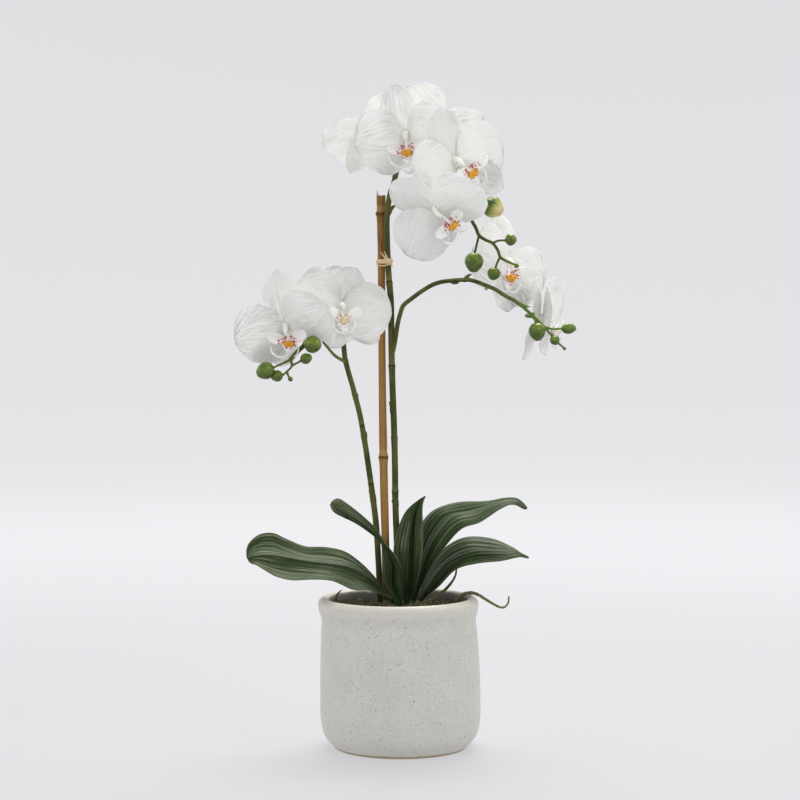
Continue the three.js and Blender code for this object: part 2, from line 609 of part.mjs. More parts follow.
function makeTie() {
  const knot = [-11, -4.4, TIE.height];
  const ends = [
    [knot, [-14.6, -6.2, TIE.height + 4], [-18, -5.6, TIE.height + 8.5]],
    [knot, [-12.6, -6.4, TIE.height + 5], [-15, -6.6, TIE.height + 9.5]],
    [knot, [-9, -6.4, TIE.height - 1.5], [-7, -6.6, TIE.height - 4.5]],
  ];
  const lump = lathe([[0, -2], [1.8, -1.6], [2.2, 0], [1.8, 1.6], [0, 2]], 7).translate(...knot);
  return fuse([
    tieTurn(0.9, 0.9),
    tieTurn(-0.9, -0.7),
    solid(lump),
    ...ends.map((route) => solid(tube(curveThrough(route), [0.7, 0.6, 0.4], SIDES.small, 3))),
  ]);
}

// Leaves. Each row is one far edge, midrib and near edge, from the foot in the soil to the tip.

const LEAVES = {
  leaf_long_left: [
    [[-8, 3.6, 122], [-5.8, 3.1, 122], [-3.5, 2.4, 122]],
    [[-9, 4, 135], [-6.4, 3.2, 134.5], [-3.7, 2, 134]],
    [[-17, 8, 147.5], [-14, 3, 142.5], [-10, -4, 138]],
    [[-35, 14, 167], [-33, -2, 158.5], [-28.5, -20, 147.5]],
    [[-52, 18, 178.5], [-47.5, -6, 166.5], [-42.5, -28, 149]],
    [[-70, 17, 182.5], [-65.5, -9, 170], [-62, -31, 157.5]],
    [[-88, 15, 183.5], [-83, -11, 172.5], [-80.5, -33, 159]],
    [[-105, 12, 190.5], [-102, -13, 176], [-98, -34, 158.5]],
    [[-117.5, 8, 196.5], [-116.5, -15, 178.5], [-113, -33, 162]],
    [[-129.5, 1, 196], [-127.5, -16, 178.5], [-124.5, -29, 168]],
    [[-138.5, -7, 189], [-134.5, -17, 177], [-132.5, -23, 171.5]],
    [[-141.5, -13, 180.5], [-139, -17, 175], [-136.5, -20, 171.5]],
  ],
  leaf_twisted: [
    [[-4, -10, 122], [-1.5, -9.6, 122], [1, -10, 122]],
    [[-5.5, -10, 134], [-1.8, -9.2, 134], [2, -10, 134]],
    [[-13.5, -12, 150.5], [-6.5, -6, 148.5], [2, -13.5, 152.5]],
    [[-16, -15, 172.5], [-5.5, -8.5, 168.5], [0, -19, 170]],
    [[-17, -14, 184], [-9.5, -11, 179.5], [-5.5, -20.5, 180]],
    [[-19, -10, 193], [-17, -14.5, 191], [-13.5, -20, 190]],
    [[-26, -9.5, 198], [-24.5, -15.5, 199.5], [-21.5, -14, 202]],
    [[-35.5, -13, 205], [-34.5, -18, 207], [-31.5, -8, 211]],
    [[-45.5, -19, 211], [-43.5, -21, 213], [-40.5, -7, 218.5]],
    [[-53, -27, 215], [-51, -24, 217], [-48.5, -9, 225]],
    [[-60, -33, 220], [-59, -27, 221], [-56, -13, 230]],
    [[-64, -30, 225], [-63.5, -26, 226.5], [-62, -21, 230]],
  ],
  leaf_upright: [
    [[4, 3, 122], [6, 3.6, 122], [8, 2.9, 122]],
    [[3, 3, 134], [5.6, 3.9, 134], [8.5, 2.7, 134]],
    [[-2.5, 2, 155.5], [10, 7, 153.5], [16, -6, 156.5]],
    [[-6.5, 3, 180.5], [13, 9, 180], [20, -8, 181.5]],
    [[-2.5, 5, 200.5], [14.5, 11, 203.5], [20.5, -5, 204]],
    [[5, 7, 217], [16.5, 12, 218.5], [20, 2, 219.5]],
    [[17, 9, 227.5], [20.5, 11, 227.5], [21.5, 8, 227]],
    [[21.8, 10, 230.3], [22.6, 10.4, 230.3], [23, 9.6, 229.6]],
  ],
  leaf_upper_right: [
    [[9.5, 16.2, 122], [11.5, 15.2, 122], [13.5, 13.8, 122]],
    [[9.3, 16.6, 134], [12, 15.3, 134], [14.8, 13, 134]],
    [[11, 22, 162], [18, 15.5, 163.5], [27, 3, 163.5]],
    [[15, 32, 191], [26.5, 17, 191], [40.5, -6, 185]],
    [[26.5, 38, 211], [41, 17, 210], [56.5, -12, 203]],
    [[50.5, 36, 221.5], [63, 15, 215.5], [72, -13, 208.5]],
    [[81, 27, 221.5], [87.5, 11, 223], [90.5, -8, 220]],
    [[94.5, 22, 225.5], [98.5, 9, 225.5], [100.5, -4, 224]],
    [[106.5, 17, 227], [107, 8, 225.5], [106.5, -1, 223]],
    [[117, 9.5, 220], [116, 6, 219], [114.5, 3.5, 218]],
  ],
  leaf_lower_right: [
    [[17.5, 28.8, 122], [19.2, 26.6, 122], [21, 24, 122]],
    [[17, 29.5, 132.5], [19, 26.8, 132.5], [21.5, 23.5, 132.5]],
    [[26, 42, 154], [27.5, 26, 151.5], [35.5, 10, 147]],
    [[41.5, 49, 176.5], [42.5, 23, 169.5], [51.5, 1, 164]],
    [[60, 48, 187], [61, 19, 180], [71, -4, 170]],
    [[84.5, 41, 187], [85.5, 15, 180], [93, -5, 172.5]],
    [[102.5, 27, 180], [103.5, 12, 178.5], [107, 0, 175]],
    [[109, 19, 176.5], [110.5, 11, 176], [111.5, 3, 175]],
    [[118, 12.3, 173.5], [118, 10, 173.5], [117.6, 7.7, 173]],
  ],
};

// The blade through a leaf's rows, channelled along the midrib. Past its ends it runs straight on.
function leafSurface(rows) {
  const [far, middle, near] = [0, 1, 2].map((column) => curveThrough(rows.map((row) => row[column])));
  const nominalLength = 100;
  return (u, v) => {
    const clamped = Math.min(Math.max(u, 0), 1);
    const tangent = middle.getTangent(clamped);
    const rib = middle.getPoint(clamped);
    const reach = (v < 0 ? far : near).getPoint(clamped).sub(rib);
    const up = tangent.clone().cross(reach).normalize();
    if (v < 0) up.negate();
    const arch = LEAF.arch * Math.sin(Math.PI * Math.min(1, Math.abs(v)));
    rib.addScaledVector(tangent, nominalLength * (u - clamped));
    return rib.addScaledVector(reach, Math.abs(v)).addScaledVector(up, -arch * reach.length());
  };
}

function makeLeaf(rows) {
  const thickness = (u, v) => {
    const height = Math.sin(Math.PI * Math.min(1, Math.max(0, u)));
    const ridge = height * Math.cos(0.5 * LEAF.columns * Math.PI * v);
    return mix(LEAF.middle, LEAF.edge, Math.abs(v)) + LEAF.rib * ridge;
  };
  return solid(blade(leafSurface(rows), LEAF.rows, LEAF.columns, thickness));
}

// A plain slot in the soil round the straight foot of a leaf
function slot(rows) {
  const [low, high] = rows.slice(0, 2).map(([far, , near]) => {
    const across = point(near).sub(point(far)).normalize();
    const past = across.multiplyScalar(SLOT.side);
    return [point(far).sub(past), point(near).add(past)];
  });
  low.forEach((end) => { end.z -= CLEARANCE; });
  const surface = (u, v) => {
    const [bottom, top] = [low, high].map(([far, near]) => far.clone().lerp(near, (v + 1) / 2));
    return bottom.lerp(top, u);
  };
  return solid(blade(surface, 1, 1, () => SLOT.thickness));
}

// Aerial roots

const ROOTS = {
  root_crown: {
    route: [[22, 17, 122], [24, 18.5, 131], [31, 22, 134.5], [39.5, 26, 140], [46.4, 28, 147],
      [51, 29, 154.5], [52, 29, 160]],
    radii: [1.5, 1.7, 1.7, 1.6, 1.4, 1.1, 0.8],
  },
  root_over_rim: {
    route: [[46, 18, 118], [48.5, 16.5, 129], [54, 14.5, 137], [60, 12.5, 140.8], [66, 10.5, 141.7],
      [72, 8.5, 139.8], [78.7, 6, 135.5], [85.8, 2, 131.5], [90.7, 0, 129.3], [95, -2, 129.2],
      [98.6, -4, 133.4], [99.2, -6, 139.6]],
    radii: [1.9, 2, 2.1, 2.1, 2, 1.8, 1.5, 1.3, 1.1, 0.9, 0.7],
  },
  root_left: {
    route: [[-59.5, 5, 119], [-60, 5, 128], [-59.7, 5, 136], [-58, 5.5, 140.5], [-54.5, 6.5, 143.8]],
    radii: [1.3, 1.3, 1.1, 0.8, 0.5],
  },
};

function makeRoot({ route, radii }) {
  return solid(tube(curveThrough(route), radii, SIDES.root, Math.round(1.6 * route.length)));
}

// Assembly

const FINISH = {
  pot: { color: 0xbdbcb5, roughness: 0.75, metalness: 0 },
  soil: { color: 0x2b2a22, roughness: 1, metalness: 0 },
  bamboo: { color: 0x96662f, roughness: 0.6, metalness: 0 },
  raffia: { color: 0xdcbb83, roughness: 0.9, metalness: 0 },
  stem: { color: 0x55652f, roughness: 0.6, metalness: 0 },
  leaf: { color: 0x33472d, roughness: 0.5, metalness: 0 },
  root: { color: 0x77743c, roughness: 0.7, metalness: 0 },
  bud: { color: 0xa9ad5c, roughness: 0.5, metalness: 0 },
  petal: { color: 0xf1f1ee, roughness: 0.6, metalness: 0 },
  lip: { color: 0xf0dcdc, roughness: 0.6, metalness: 0 },
  callus: { color: 0xf29a1f, roughness: 0.5, metalness: 0 },
};

function piece(name, body, finish) {
  const mesh = new THREE.Mesh(geometryOf(body), new THREE.MeshStandardMaterial(FINISH[finish]));
  mesh.name = name;
  return mesh;
}

const orchid = new THREE.Group();
orchid.name = 'potted_moth_orchid';

const soilHoles = [
  hole(TALL_STEM, TALL_RADII[0]),
  hole(LEFT_STEM, LEFT_RADII[0]),
  hole(STAKE_ROUTE, STAKE_RADII[0]),
  ...Object.values(ROOTS).map(({ route, radii }) => hole(route, radii[0])),
  ...Object.values(LEAVES).map(slot),
];
orchid.add(piece('pot', makePot(), 'pot'));
orchid.add(piece('soil', soilHoles.reduce((whole, cut) => whole.subtract(cut), makeSoil()), 'soil'));
orchid.add(piece('stake', makeStake(), 'bamboo'));
orchid.add(piece('raffia_tie', makeTie(), 'raffia'));
orchid.add(piece('flower_spike_tall', makeTallSpike(), 'stem'));
orchid.add(piece('flower_spike_left', makeLeftSpike(), 'stem'));
orchid.add(piece('bud_cream', bud(CREAM_BUD), 'bud'));
for (const [name, rows] of Object.entries(LEAVES)) orchid.add(piece(name, makeLeaf(rows), 'leaf'));
for (const [name, root] of Object.entries(ROOTS)) orchid.add(piece(name, makeRoot(root), 'root'));

for (const bloom of BLOOMS) {
  const [outer, inner] = bloomGroups(bloom);
  inner.add(piece(`bloom_${bloom.name}`, makeBloom(bloom), 'petal'));
  inner.add(piece(`lip_${bloom.name}`, makeLip(bloom), 'lip'));
  inner.add(piece(`callus_${bloom.name}`, makeCallus(bloom), 'callus'));
  orchid.add(outer);
}

export default orchid;
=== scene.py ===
# Potted moth orchid: the finished look of each piece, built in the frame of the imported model.
# Layout values are millimetres in the part's own frame, and every mesh is made in metres.

import math

import bpy
import numpy as np
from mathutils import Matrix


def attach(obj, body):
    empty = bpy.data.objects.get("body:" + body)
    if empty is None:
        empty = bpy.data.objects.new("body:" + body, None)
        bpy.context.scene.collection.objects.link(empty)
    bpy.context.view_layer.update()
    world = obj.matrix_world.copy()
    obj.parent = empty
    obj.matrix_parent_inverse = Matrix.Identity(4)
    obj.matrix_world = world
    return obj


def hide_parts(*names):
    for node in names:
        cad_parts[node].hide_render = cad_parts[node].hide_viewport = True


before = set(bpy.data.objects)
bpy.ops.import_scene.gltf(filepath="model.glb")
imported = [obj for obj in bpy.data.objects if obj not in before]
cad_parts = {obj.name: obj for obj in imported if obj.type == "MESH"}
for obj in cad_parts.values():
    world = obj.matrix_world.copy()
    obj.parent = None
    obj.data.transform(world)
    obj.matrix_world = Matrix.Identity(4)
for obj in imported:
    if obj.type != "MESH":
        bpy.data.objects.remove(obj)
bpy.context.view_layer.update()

MM = 0.001
SEED = 11
rng = np.random.default_rng(SEED)

# Camera, stage and light, as fitted to the photograph

CAMERA = {"at": [0, -2246, 437.5], "pitch": 0.05245, "focal": 2460, "picture": 800, "aside": 0.5}
FLOOR = {"flat": 2600, "wall": 3600, "height": 3200, "colour": (0.14, 0.138, 0.143), "glow": (0.50, 0.63)}
LIGHT_AIM = (0.0, 0.0, 0.3)
LIGHTS = [
    ("key", (1.7, -1.2, 1.9), 1.4, 12, (1, 0.99, 0.97)),
    ("fill", (-1.9, -1.0, 1.2), 1.8, 6, (0.98, 0.99, 1)),
    ("top", (0.2, 1.0, 2.4), 1.8, 78, (1, 1, 1)),
]
WORLD = {"colour": (0.80, 0.80, 0.83, 1), "strength": 0.66}

# Layout, the same values as the solids have

POT = {
    "outside": [[60, 0], [63, 3.5], [69.8, 11.5], [73, 24], [73.6, 45], [73, 75], [71.6, 105], [70.6, 119],
                [73, 128], [72.8, 135], [68.5, 138.6], [64.4, 137.4], [62.8, 132]],
    "inside": [[63.2, 124], [63.6, 90], [62, 16]],
    "floor": 8, "foot": 3, "height": 138.6, "wander": 0.006, "shift": -2.5,
}
POT_SPECKS = [
    (0.95, 0.55, 0.34, (0.20, 0.17, 0.14)),
    (0.5, 0.62, 0.30, (0.16, 0.13, 0.11)),
    (1.6, 0.45, 0.36, (0.34, 0.31, 0.27)),
]
SOIL = {"edge": 126.5, "dome": 5.5, "dome_radius": 30, "bump": 0.9, "gap": 0.8, "chips": 200, "strands": 300}
SOIL_STEMS = [
    (-0.5, 17.5, 4.5), (-19, 22.5, 4.5), (-13.2, 15, 4.8), (24, 18.5, 2.5), (48.5, 16.5, 3), (-60, 5, 2.5),
    (-6, 3.2, 5), (-1.8, -10, 6), (5.6, 3.3, 5), (12, 15.3, 5), (19, 26.8, 6),
]
STAKE_NODES = [267, 490]
STAKE_SPLINTERS = 9
SPLINTER_ROUTE = [[-20.6, 5, 500], [-21, 5, 506], [-21.2, 5, 510.5]]
TIE_HEIGHT = 446
TIE_HELD = [{"x": -17.5, "y": 6.4, "radius": 3.5}, {"x": -11.5, "y": 0.5, "radius": 2.9}]
TIE_KNOT = (-11, -4.4, 446)
# radius past the held stems, rise, tilt, where the turn starts, and half the strand's width
TIE_TURNS = [
    (0.75, 1.5, 0.9, 0.3, 1.15), (0.8, -1.4, -0.7, 2.1, 1.2), (1.2, 0.1, 0.4, 4.0, 1.0),
    (0.7, -3.0, 0.5, 5.2, 0.7),
]
TIE_ENDS = [
    ([[-11, -4.6, 446], [-14.2, -6.2, 449.5], [-18, -5.8, 454.5]], 0.95),
    ([[-11, -4.8, 446], [-12.6, -6.4, 450.5], [-14.6, -6.4, 455]], 0.8),
    ([[-10.6, -4.8, 446], [-9, -6.4, 444.5], [-7, -6.4, 440.8]], 0.95),
    ([[-10.8, -4.8, 446.4], [-8.6, -6.2, 446.8], [-6.2, -5.6, 445.4]], 0.6),
]
TALL_NODES = [236, 284, 350, 426, 488]
LEFT_NODES = [231, 286, 325, 356]
STAKE_ROUTE = [[-13, 15, 104], [-13.2, 15, 133], [-14, 14, 193], [-15.1, 12, 237],
  [-16.3, 9.5, 301], [-16.8, 8, 347], [-17.3, 6.5, 429], [-17.8, 6, 506]]
STAKE_RADII = [3.5, 3.5, 3.6, 3.7, 3.7, 3.4, 3.3, 3.4, 3.5, 4.2]
TALL_STEM = [[-0.5, 18, 100], [-0.5, 17.5, 132], [-3.2, 14.5, 185], [-4.8, 11.5, 229],
  [-5, 9.5, 255], [-5.9, 6.5, 294], [-7.3, 4, 331], [-8.3, 2, 370], [-8.8, 1, 411], [-10.5, 0.5, 430],
  [-11.4, 0.5, 446], [-12.2, -0.5, 466], [-12.2, -1, 488], [-9.5, 4, 507], [-6, 8, 518], [-3, 10.5, 530],
  [6, 14, 546], [23, 15, 557], [41, 11, 556], [54, 3, 543], [61, -8, 520], [64, -15, 497],
  [64.4, -17, 483.5]]
TALL_RADII = [3, 3, 3, 2.9, 2.9, 2.9, 2.9, 2.9, 2.8, 2.7, 2.6, 2.4, 2.2, 1.8, 1.6]
TALL_SPRAY = [[64, -15.6, 490], [64.6, -17, 483], [68.2, -18, 476], [71, -18, 469.5],
  [76.7, -18, 465.5], [83.1, -18, 462.5], [88, -18, 456], [90.2, -18, 450], [95.9, -18, 446.4],
  [103.5, -18, 443]]
SPRAY_RADII = [1.6, 1.6, 1.5, 1.4, 1.3, 1]
BRANCH = [[-8, 3, 360], [-5.5, 0.5, 371], [-2.6, -2.5, 389], [0.2, -5, 400], [2.6, -6.5, 406],
  [10.4, -9, 412.5], [20.1, -11, 419.6], [28.8, -13, 424.7], [36.7, -15, 427.4], [47, -17, 428.8],
  [57.4, -19, 429.4], [64.1, -20, 429], [75.5, -20, 425], [85.9, -21, 420.6], [94.2, -22, 415.2],
  [102.5, -22, 411], [110.7, -22, 404.9], [118.5, -21, 397.9], [131, -20, 385.8], [137.1, -20, 378.6]]
BRANCH_RADII = [2.3, 2.2, 2.1, 2, 2, 2, 1.9, 1.9, 1.8, 1.6, 1.3, 1]
LEFT_STEM = [[-18.6, 23, 101], [-19, 22.5, 134.6], [-20.5, 20, 171], [-22.3, 17, 201],
  [-25.3, 14, 227.6], [-29, 11, 254.6], [-33.2, 8, 283], [-37.4, 5, 306.5], [-41.7, 3.5, 323.7],
  [-43.9, 2.5, 332.3], [-50.4, 2, 356], [-53, 3, 376], [-57.5, 4, 386], [-64.5, 4, 391.4],
  [-72.6, 1, 392.3], [-79.5, -9, 388], [-83.5, -24, 380.4], [-85.4, -38, 373.5], [-87.6, -45, 369.6],
  [-91.7, -48, 365.9], [-98.4, -49, 358.4]]
LEFT_RADII = [2.9, 2.9, 2.8, 2.8, 2.7, 2.6, 2.5, 2.4, 2.3, 2.2, 2.1, 2]
TALL_TWIGS = [
  [[71, -18, 469.5], [69, -19, 462], [67, -19, 453]],
  [[83.1, -18, 462.5], [89, -19, 464.8], [95, -20, 465]],
  [[90.2, -18, 450], [87.5, -20, 445], [85.5, -20, 439]],
  [[56, 1, 540], [66, 0, 522], [72, -1.6, 508], [75.9, -3.8, 500.5]],
]
TALL_BUDS = [
  {"at": [66.4, -19, 445], "from": [67, -19, 453], "radius": 8.2, "length": 18.4},
  {"at": [99.8, -20, 465.6], "from": [95, -20, 465], "radius": 5.2, "length": 10.6},
  {"at": [84.3, -20, 434.7], "from": [85.5, -20, 439], "radius": 5.8, "length": 11.8},
  {"at": [105, -18, 442.2], "from": [101, -18, 444], "radius": 2.2, "length": 4.6},
]
CREAM_BUD = {"at": [84.2, -6.8, 495], "from": [79, -5, 498], "radius": 9.3, "length": 20}
BRANCH_TWIGS = [
  [[119, -21, 397], [121.5, -22, 393], [122.5, -22, 389]],
  [[131, -20, 386.5], [137, -18, 385], [146, -17, 385.2]],
  [[137.1, -20, 378.6], [141.5, -20, 373.5], [147, -19, 368.6]],
]
BRANCH_BUDS = [
  {"at": [123.5, -21.5, 382.3], "from": [122.5, -22, 390], "radius": 7.4, "length": 16.8},
  {"at": [152.7, -16, 385.3], "from": [146, -17, 385.2], "radius": 4.8, "length": 13.6},
  {"at": [139.8, -20, 374.6], "from": [136, -20, 380], "radius": 4.4, "length": 9},
  {"at": [148.5, -19, 367.2], "from": [146.5, -19, 369], "radius": 1.5, "length": 3.4},
]
LEFT_TWIGS = [
  [[-98.4, -49, 358.4], [-105, -50, 355], [-113, -51, 351.5]],
  [[-98.4, -49, 358.4], [-97, -49.5, 353], [-101, -49, 348], [-104.5, -49, 345]],
  [[-97.2, -49.4, 353], [-92, -50, 355.5], [-89, -50, 357.2]],
  [[-101.5, -49, 347.5], [-100.4, -48.5, 344], [-98.7, -48, 341.4]],
  [[-87, -44, 370.2], [-84.5, -48, 371.8], [-81, -53, 372.2]],
]
LEFT_BUDS = [
  {"at": [-77.6, -56, 372], "from": [-83.8, -51, 372.5], "radius": 7.6, "length": 15.4},
  {"at": [-120.8, -51, 348.2], "from": [-113, -51, 351.5], "radius": 7.5, "length": 17},
  {"at": [-110.6, -49.5, 343.6], "from": [-104.5, -49, 345], "radius": 5, "length": 11},
  {"at": [-84.1, -50, 359.4], "from": [-89, -50, 357.2], "radius": 4.7, "length": 11},
  {"at": [-98.4, -48, 340.8], "from": [-99.5, -48.2, 342.6], "radius": 2.2, "length": 4.6},
]
TALL_BRACTS = [
  [[-5, 11, 226], [-1.6, 9.6, 221], 3.2],
  [[-6.6, 5.6, 308], [-10.4, 2.6, 318], 3.0],
  [[-11, -1, 489], [-3.4, -2, 498], 2.1],
  [[-5.5, 8.4, 521], [-1.5, 6.4, 532], 2.2],
]
BRANCH_BRACTS = [
  [[58, -19, 429], [64.4, -20.5, 434.8], 1.9],
  [[45, -17, 428.5], [53, -20, 426.6], 1.8],
  [[107.5, -22, 408], [117.2, -23, 405.2], 1.6],
]
LEFT_BRACTS = [
  [[-25, 14, 226], [-29.2, 12.6, 236], 3.0],
  [[-33.4, 7.6, 284], [-34.6, 4.8, 293], 2.8],
  [[-42, 3, 325], [-38.4, 1.6, 323.6], 2.6],
]
BLOOMS = [
  {"name": "a", "spike": "tall", "at": [5.5, -16, 560.5], "turn": -6, "tilt": -10, "roll": 7, "size": 1.01,
    "angles": [8, 94, -86, 137, -143], "lifts": [0.1, 0.35, 0.35, 0.1, 0.1],
    "stem": [[14, 14, 551], [12, 3, 560]]},
  {"name": "b", "spike": "tall", "at": [48, -38, 535], "turn": 29, "tilt": -5, "roll": 35, "size": 1.08,
    "angles": [-18, 80, -108, 143, -149], "lifts": [0.05, 0.4, 0.2, 0.1, 0.35], "reach": [1, 1, 1, 1, 1.12],
    "lean": [2, 2], "stem": [[54, 3, 542], [55, -15, 536]]},
  {"name": "c", "spike": "tall", "at": [31, -72, 492], "turn": 11, "tilt": -27, "roll": 55, "size": 0.98,
    "angles": [10, 94, -103, 143, -140], "lifts": [-0.05, 0.5, 0.55, 0.1, 0.25],
    "lean": [1, -2], "stem": [[64.5, -15, 488], [58, -34, 487], [47, -52, 489], [37, -63, 492]]},
  {"name": "d", "spike": "tall", "at": [-25, 34, 566.5], "turn": 215, "tilt": 37, "roll": -24, "size": 0.99,
    "angles": [16, 84, -107, 143, -137], "lifts": [0.15, 0.35, 0.45, 0.1, 0],
    "stem": [[-2, 10.5, 530], [-13, 18, 545]]},
  {"name": "e", "spike": "tall", "at": [27.5, 69, 566.5], "turn": 173, "tilt": -1, "roll": 67, "size": 0.98,
    "angles": [9, 84, -95, 143, -143], "lifts": [0.1, 0.35, 0.35, 0.1, 0.1], "reach": [1.2, 1, 1.1, 1, 1],
    "stem": [[32, 13, 557.5], [34, 30, 566]]},
  {"name": "f", "spike": "left", "at": [-102.5, -42, 389], "turn": -1, "tilt": -24, "roll": 5, "size": 1,
    "angles": [4, 99, -63, 139, -194], "lifts": [-0.15, 0.4, 0.5, 0.3, 0.1], "reach": [1.07, 1, 1, 1, 1],
    "lean": [2, 3.5], "perk": 5,
    "stem": [[-50.5, 1.5, 354.5], [-59.5, -3, 360], [-67.5, -10, 369.5], [-76, -20, 380]]},
  {"name": "g", "spike": "left", "at": [-55.5, -14, 403], "turn": 23, "tilt": 18, "roll": 0, "size": 0.97,
    "angles": [-27, 63, -100, 157, -130], "lifts": [0.25, 0.4, 0.45, 0.45, 0.15],
    "reach": [1, 1.04, 1, 1, 1.1], "lean": [-3, -2], "stem": [[-57.5, 4, 385], [-60, 0, 392]]},
  {"name": "h", "spike": "left", "at": [-62, 32, 402.5], "turn": 172, "tilt": 0, "roll": 86, "size": 0.85,
    "angles": [0, 84, -84, 143, -143], "lifts": [0.1, 0.35, 0.35, 0.1, 0.1], "reach": [1, 0.85, 1, 1, 1],
    "stem": [[-64.5, 4, 391], [-58, 12, 398]]},
  {"name": "i", "spike": "tall", "at": [95.5, 34, 445], "turn": 37, "tilt": 0, "roll": -7, "size": 1.04,
    "angles": [13, 82, -113, 192, -142], "lifts": [0.05, 0.4, 0.25, 0.25, 0.3],
    "lean": [-4, 0], "stem": [[79, -20.5, 423.5], [79, 5, 421.5], [79, 30, 422], [83, 45, 432]]},
  {"name": "j", "spike": "tall", "at": [128.5, 38, 394.5], "turn": 74, "tilt": -5, "roll": 8, "size": 1,
    "angles": [32, 78, -73, 148, -147], "lifts": [0.2, 0.6, 0.4, 0.05, 0.3],
    "stem": [[120, -21, 398.5], [121, 0, 398.5], [121, 24, 398]]},
]
LEAVES = {
  "leaf_long_left": [
    [[-8, 3.6, 122], [-5.8, 3.1, 122], [-3.5, 2.4, 122]],
    [[-9, 4, 135], [-6.4, 3.2, 134.5], [-3.7, 2, 134]],
    [[-17, 8, 147.5], [-14, 3, 142.5], [-10, -4, 138]],
    [[-35, 14, 167], [-33, -2, 158.5], [-28.5, -20, 147.5]],
    [[-52, 18, 178.5], [-47.5, -6, 166.5], [-42.5, -28, 149]],
    [[-70, 17, 182.5], [-65.5, -9, 170], [-62, -31, 157.5]],
    [[-88, 15, 183.5], [-83, -11, 172.5], [-80.5, -33, 159]],
    [[-105, 12, 190.5], [-102, -13, 176], [-98, -34, 158.5]],
    [[-117.5, 8, 196.5], [-116.5, -15, 178.5], [-113, -33, 162]],
    [[-129.5, 1, 196], [-127.5, -16, 178.5], [-124.5, -29, 168]],
    [[-138.5, -7, 189], [-134.5, -17, 177], [-132.5, -23, 171.5]],
    [[-141.5, -13, 180.5], [-139, -17, 175], [-136.5, -20, 171.5]],
  ],
  "leaf_twisted": [
    [[-4, -10, 122], [-1.5, -9.6, 122], [1, -10, 122]],
    [[-5.5, -10, 134], [-1.8, -9.2, 134], [2, -10, 134]],
    [[-13.5, -12, 150.5], [-6.5, -6, 148.5], [2, -13.5, 152.5]],
    [[-16, -15, 172.5], [-5.5, -8.5, 168.5], [0, -19, 170]],
    [[-17, -14, 184], [-9.5, -11, 179.5], [-5.5, -20.5, 180]],
    [[-19, -10, 193], [-17, -14.5, 191], [-13.5, -20, 190]],
    [[-26, -9.5, 198], [-24.5, -15.5, 199.5], [-21.5, -14, 202]],
    [[-35.5, -13, 205], [-34.5, -18, 207], [-31.5, -8, 211]],
    [[-45.5, -19, 211], [-43.5, -21, 213], [-40.5, -7, 218.5]],
    [[-53, -27, 215], [-51, -24, 217], [-48.5, -9, 225]],
    [[-60, -33, 220], [-59, -27, 221], [-56, -13, 230]],
    [[-64, -30, 225], [-63.5, -26, 226.5], [-62, -21, 230]],
  ],
  "leaf_upright": [
    [[4, 3, 122], [6, 3.6, 122], [8, 2.9, 122]],
    [[3, 3, 134], [5.6, 3.9, 134], [8.5, 2.7, 134]],
    [[-2.5, 2, 155.5], [10, 7, 153.5], [16, -6, 156.5]],
    [[-6.5, 3, 180.5], [13, 9, 180], [20, -8, 181.5]],
    [[-2.5, 5, 200.5], [14.5, 11, 203.5], [20.5, -5, 204]],
    [[5, 7, 217], [16.5, 12, 218.5], [20, 2, 219.5]],
    [[17, 9, 227.5], [20.5, 11, 227.5], [21.5, 8, 227]],
    [[21.8, 10, 230.3], [22.6, 10.4, 230.3], [23, 9.6, 229.6]],
  ],
  "leaf_upper_right": [
    [[9.5, 16.2, 122], [11.5, 15.2, 122], [13.5, 13.8, 122]],
    [[9.3, 16.6, 134], [12, 15.3, 134], [14.8, 13, 134]],
    [[11, 22, 162], [18, 15.5, 163.5], [27, 3, 163.5]],
    [[15, 32, 191], [26.5, 17, 191], [40.5, -6, 185]],
    [[26.5, 38, 211], [41, 17, 210], [56.5, -12, 203]],
    [[50.5, 36, 221.5], [63, 15, 215.5], [72, -13, 208.5]],
    [[81, 27, 221.5], [87.5, 11, 223], [90.5, -8, 220]],
    [[94.5, 22, 225.5], [98.5, 9, 225.5], [100.5, -4, 224]],
    [[106.5, 17, 227], [107, 8, 225.5], [106.5, -1, 223]],
    [[117, 9.5, 220], [116, 6, 219], [114.5, 3.5, 218]],
  ],
  "leaf_lower_right": [
    [[17.5, 28.8, 122], [19.2, 26.6, 122], [21, 24, 122]],
    [[17, 29.5, 132.5], [19, 26.8, 132.5], [21.5, 23.5, 132.5]],
    [[26, 42, 154], [27.5, 26, 151.5], [35.5, 10, 147]],
    [[41.5, 49, 176.5], [42.5, 23, 169.5], [51.5, 1, 164]],
    [[60, 48, 187], [61, 19, 180], [71, -4, 170]],
    [[84.5, 41, 187], [85.5, 15, 180], [93, -5, 172.5]],
    [[102.5, 27, 180], [103.5, 12, 178.5], [107, 0, 175]],
    [[109, 19, 176.5], [110.5, 11, 176], [111.5, 3, 175]],
    [[118, 12.3, 173.5], [118, 10, 173.5], [117.6, 7.7, 173]],
  ],
}
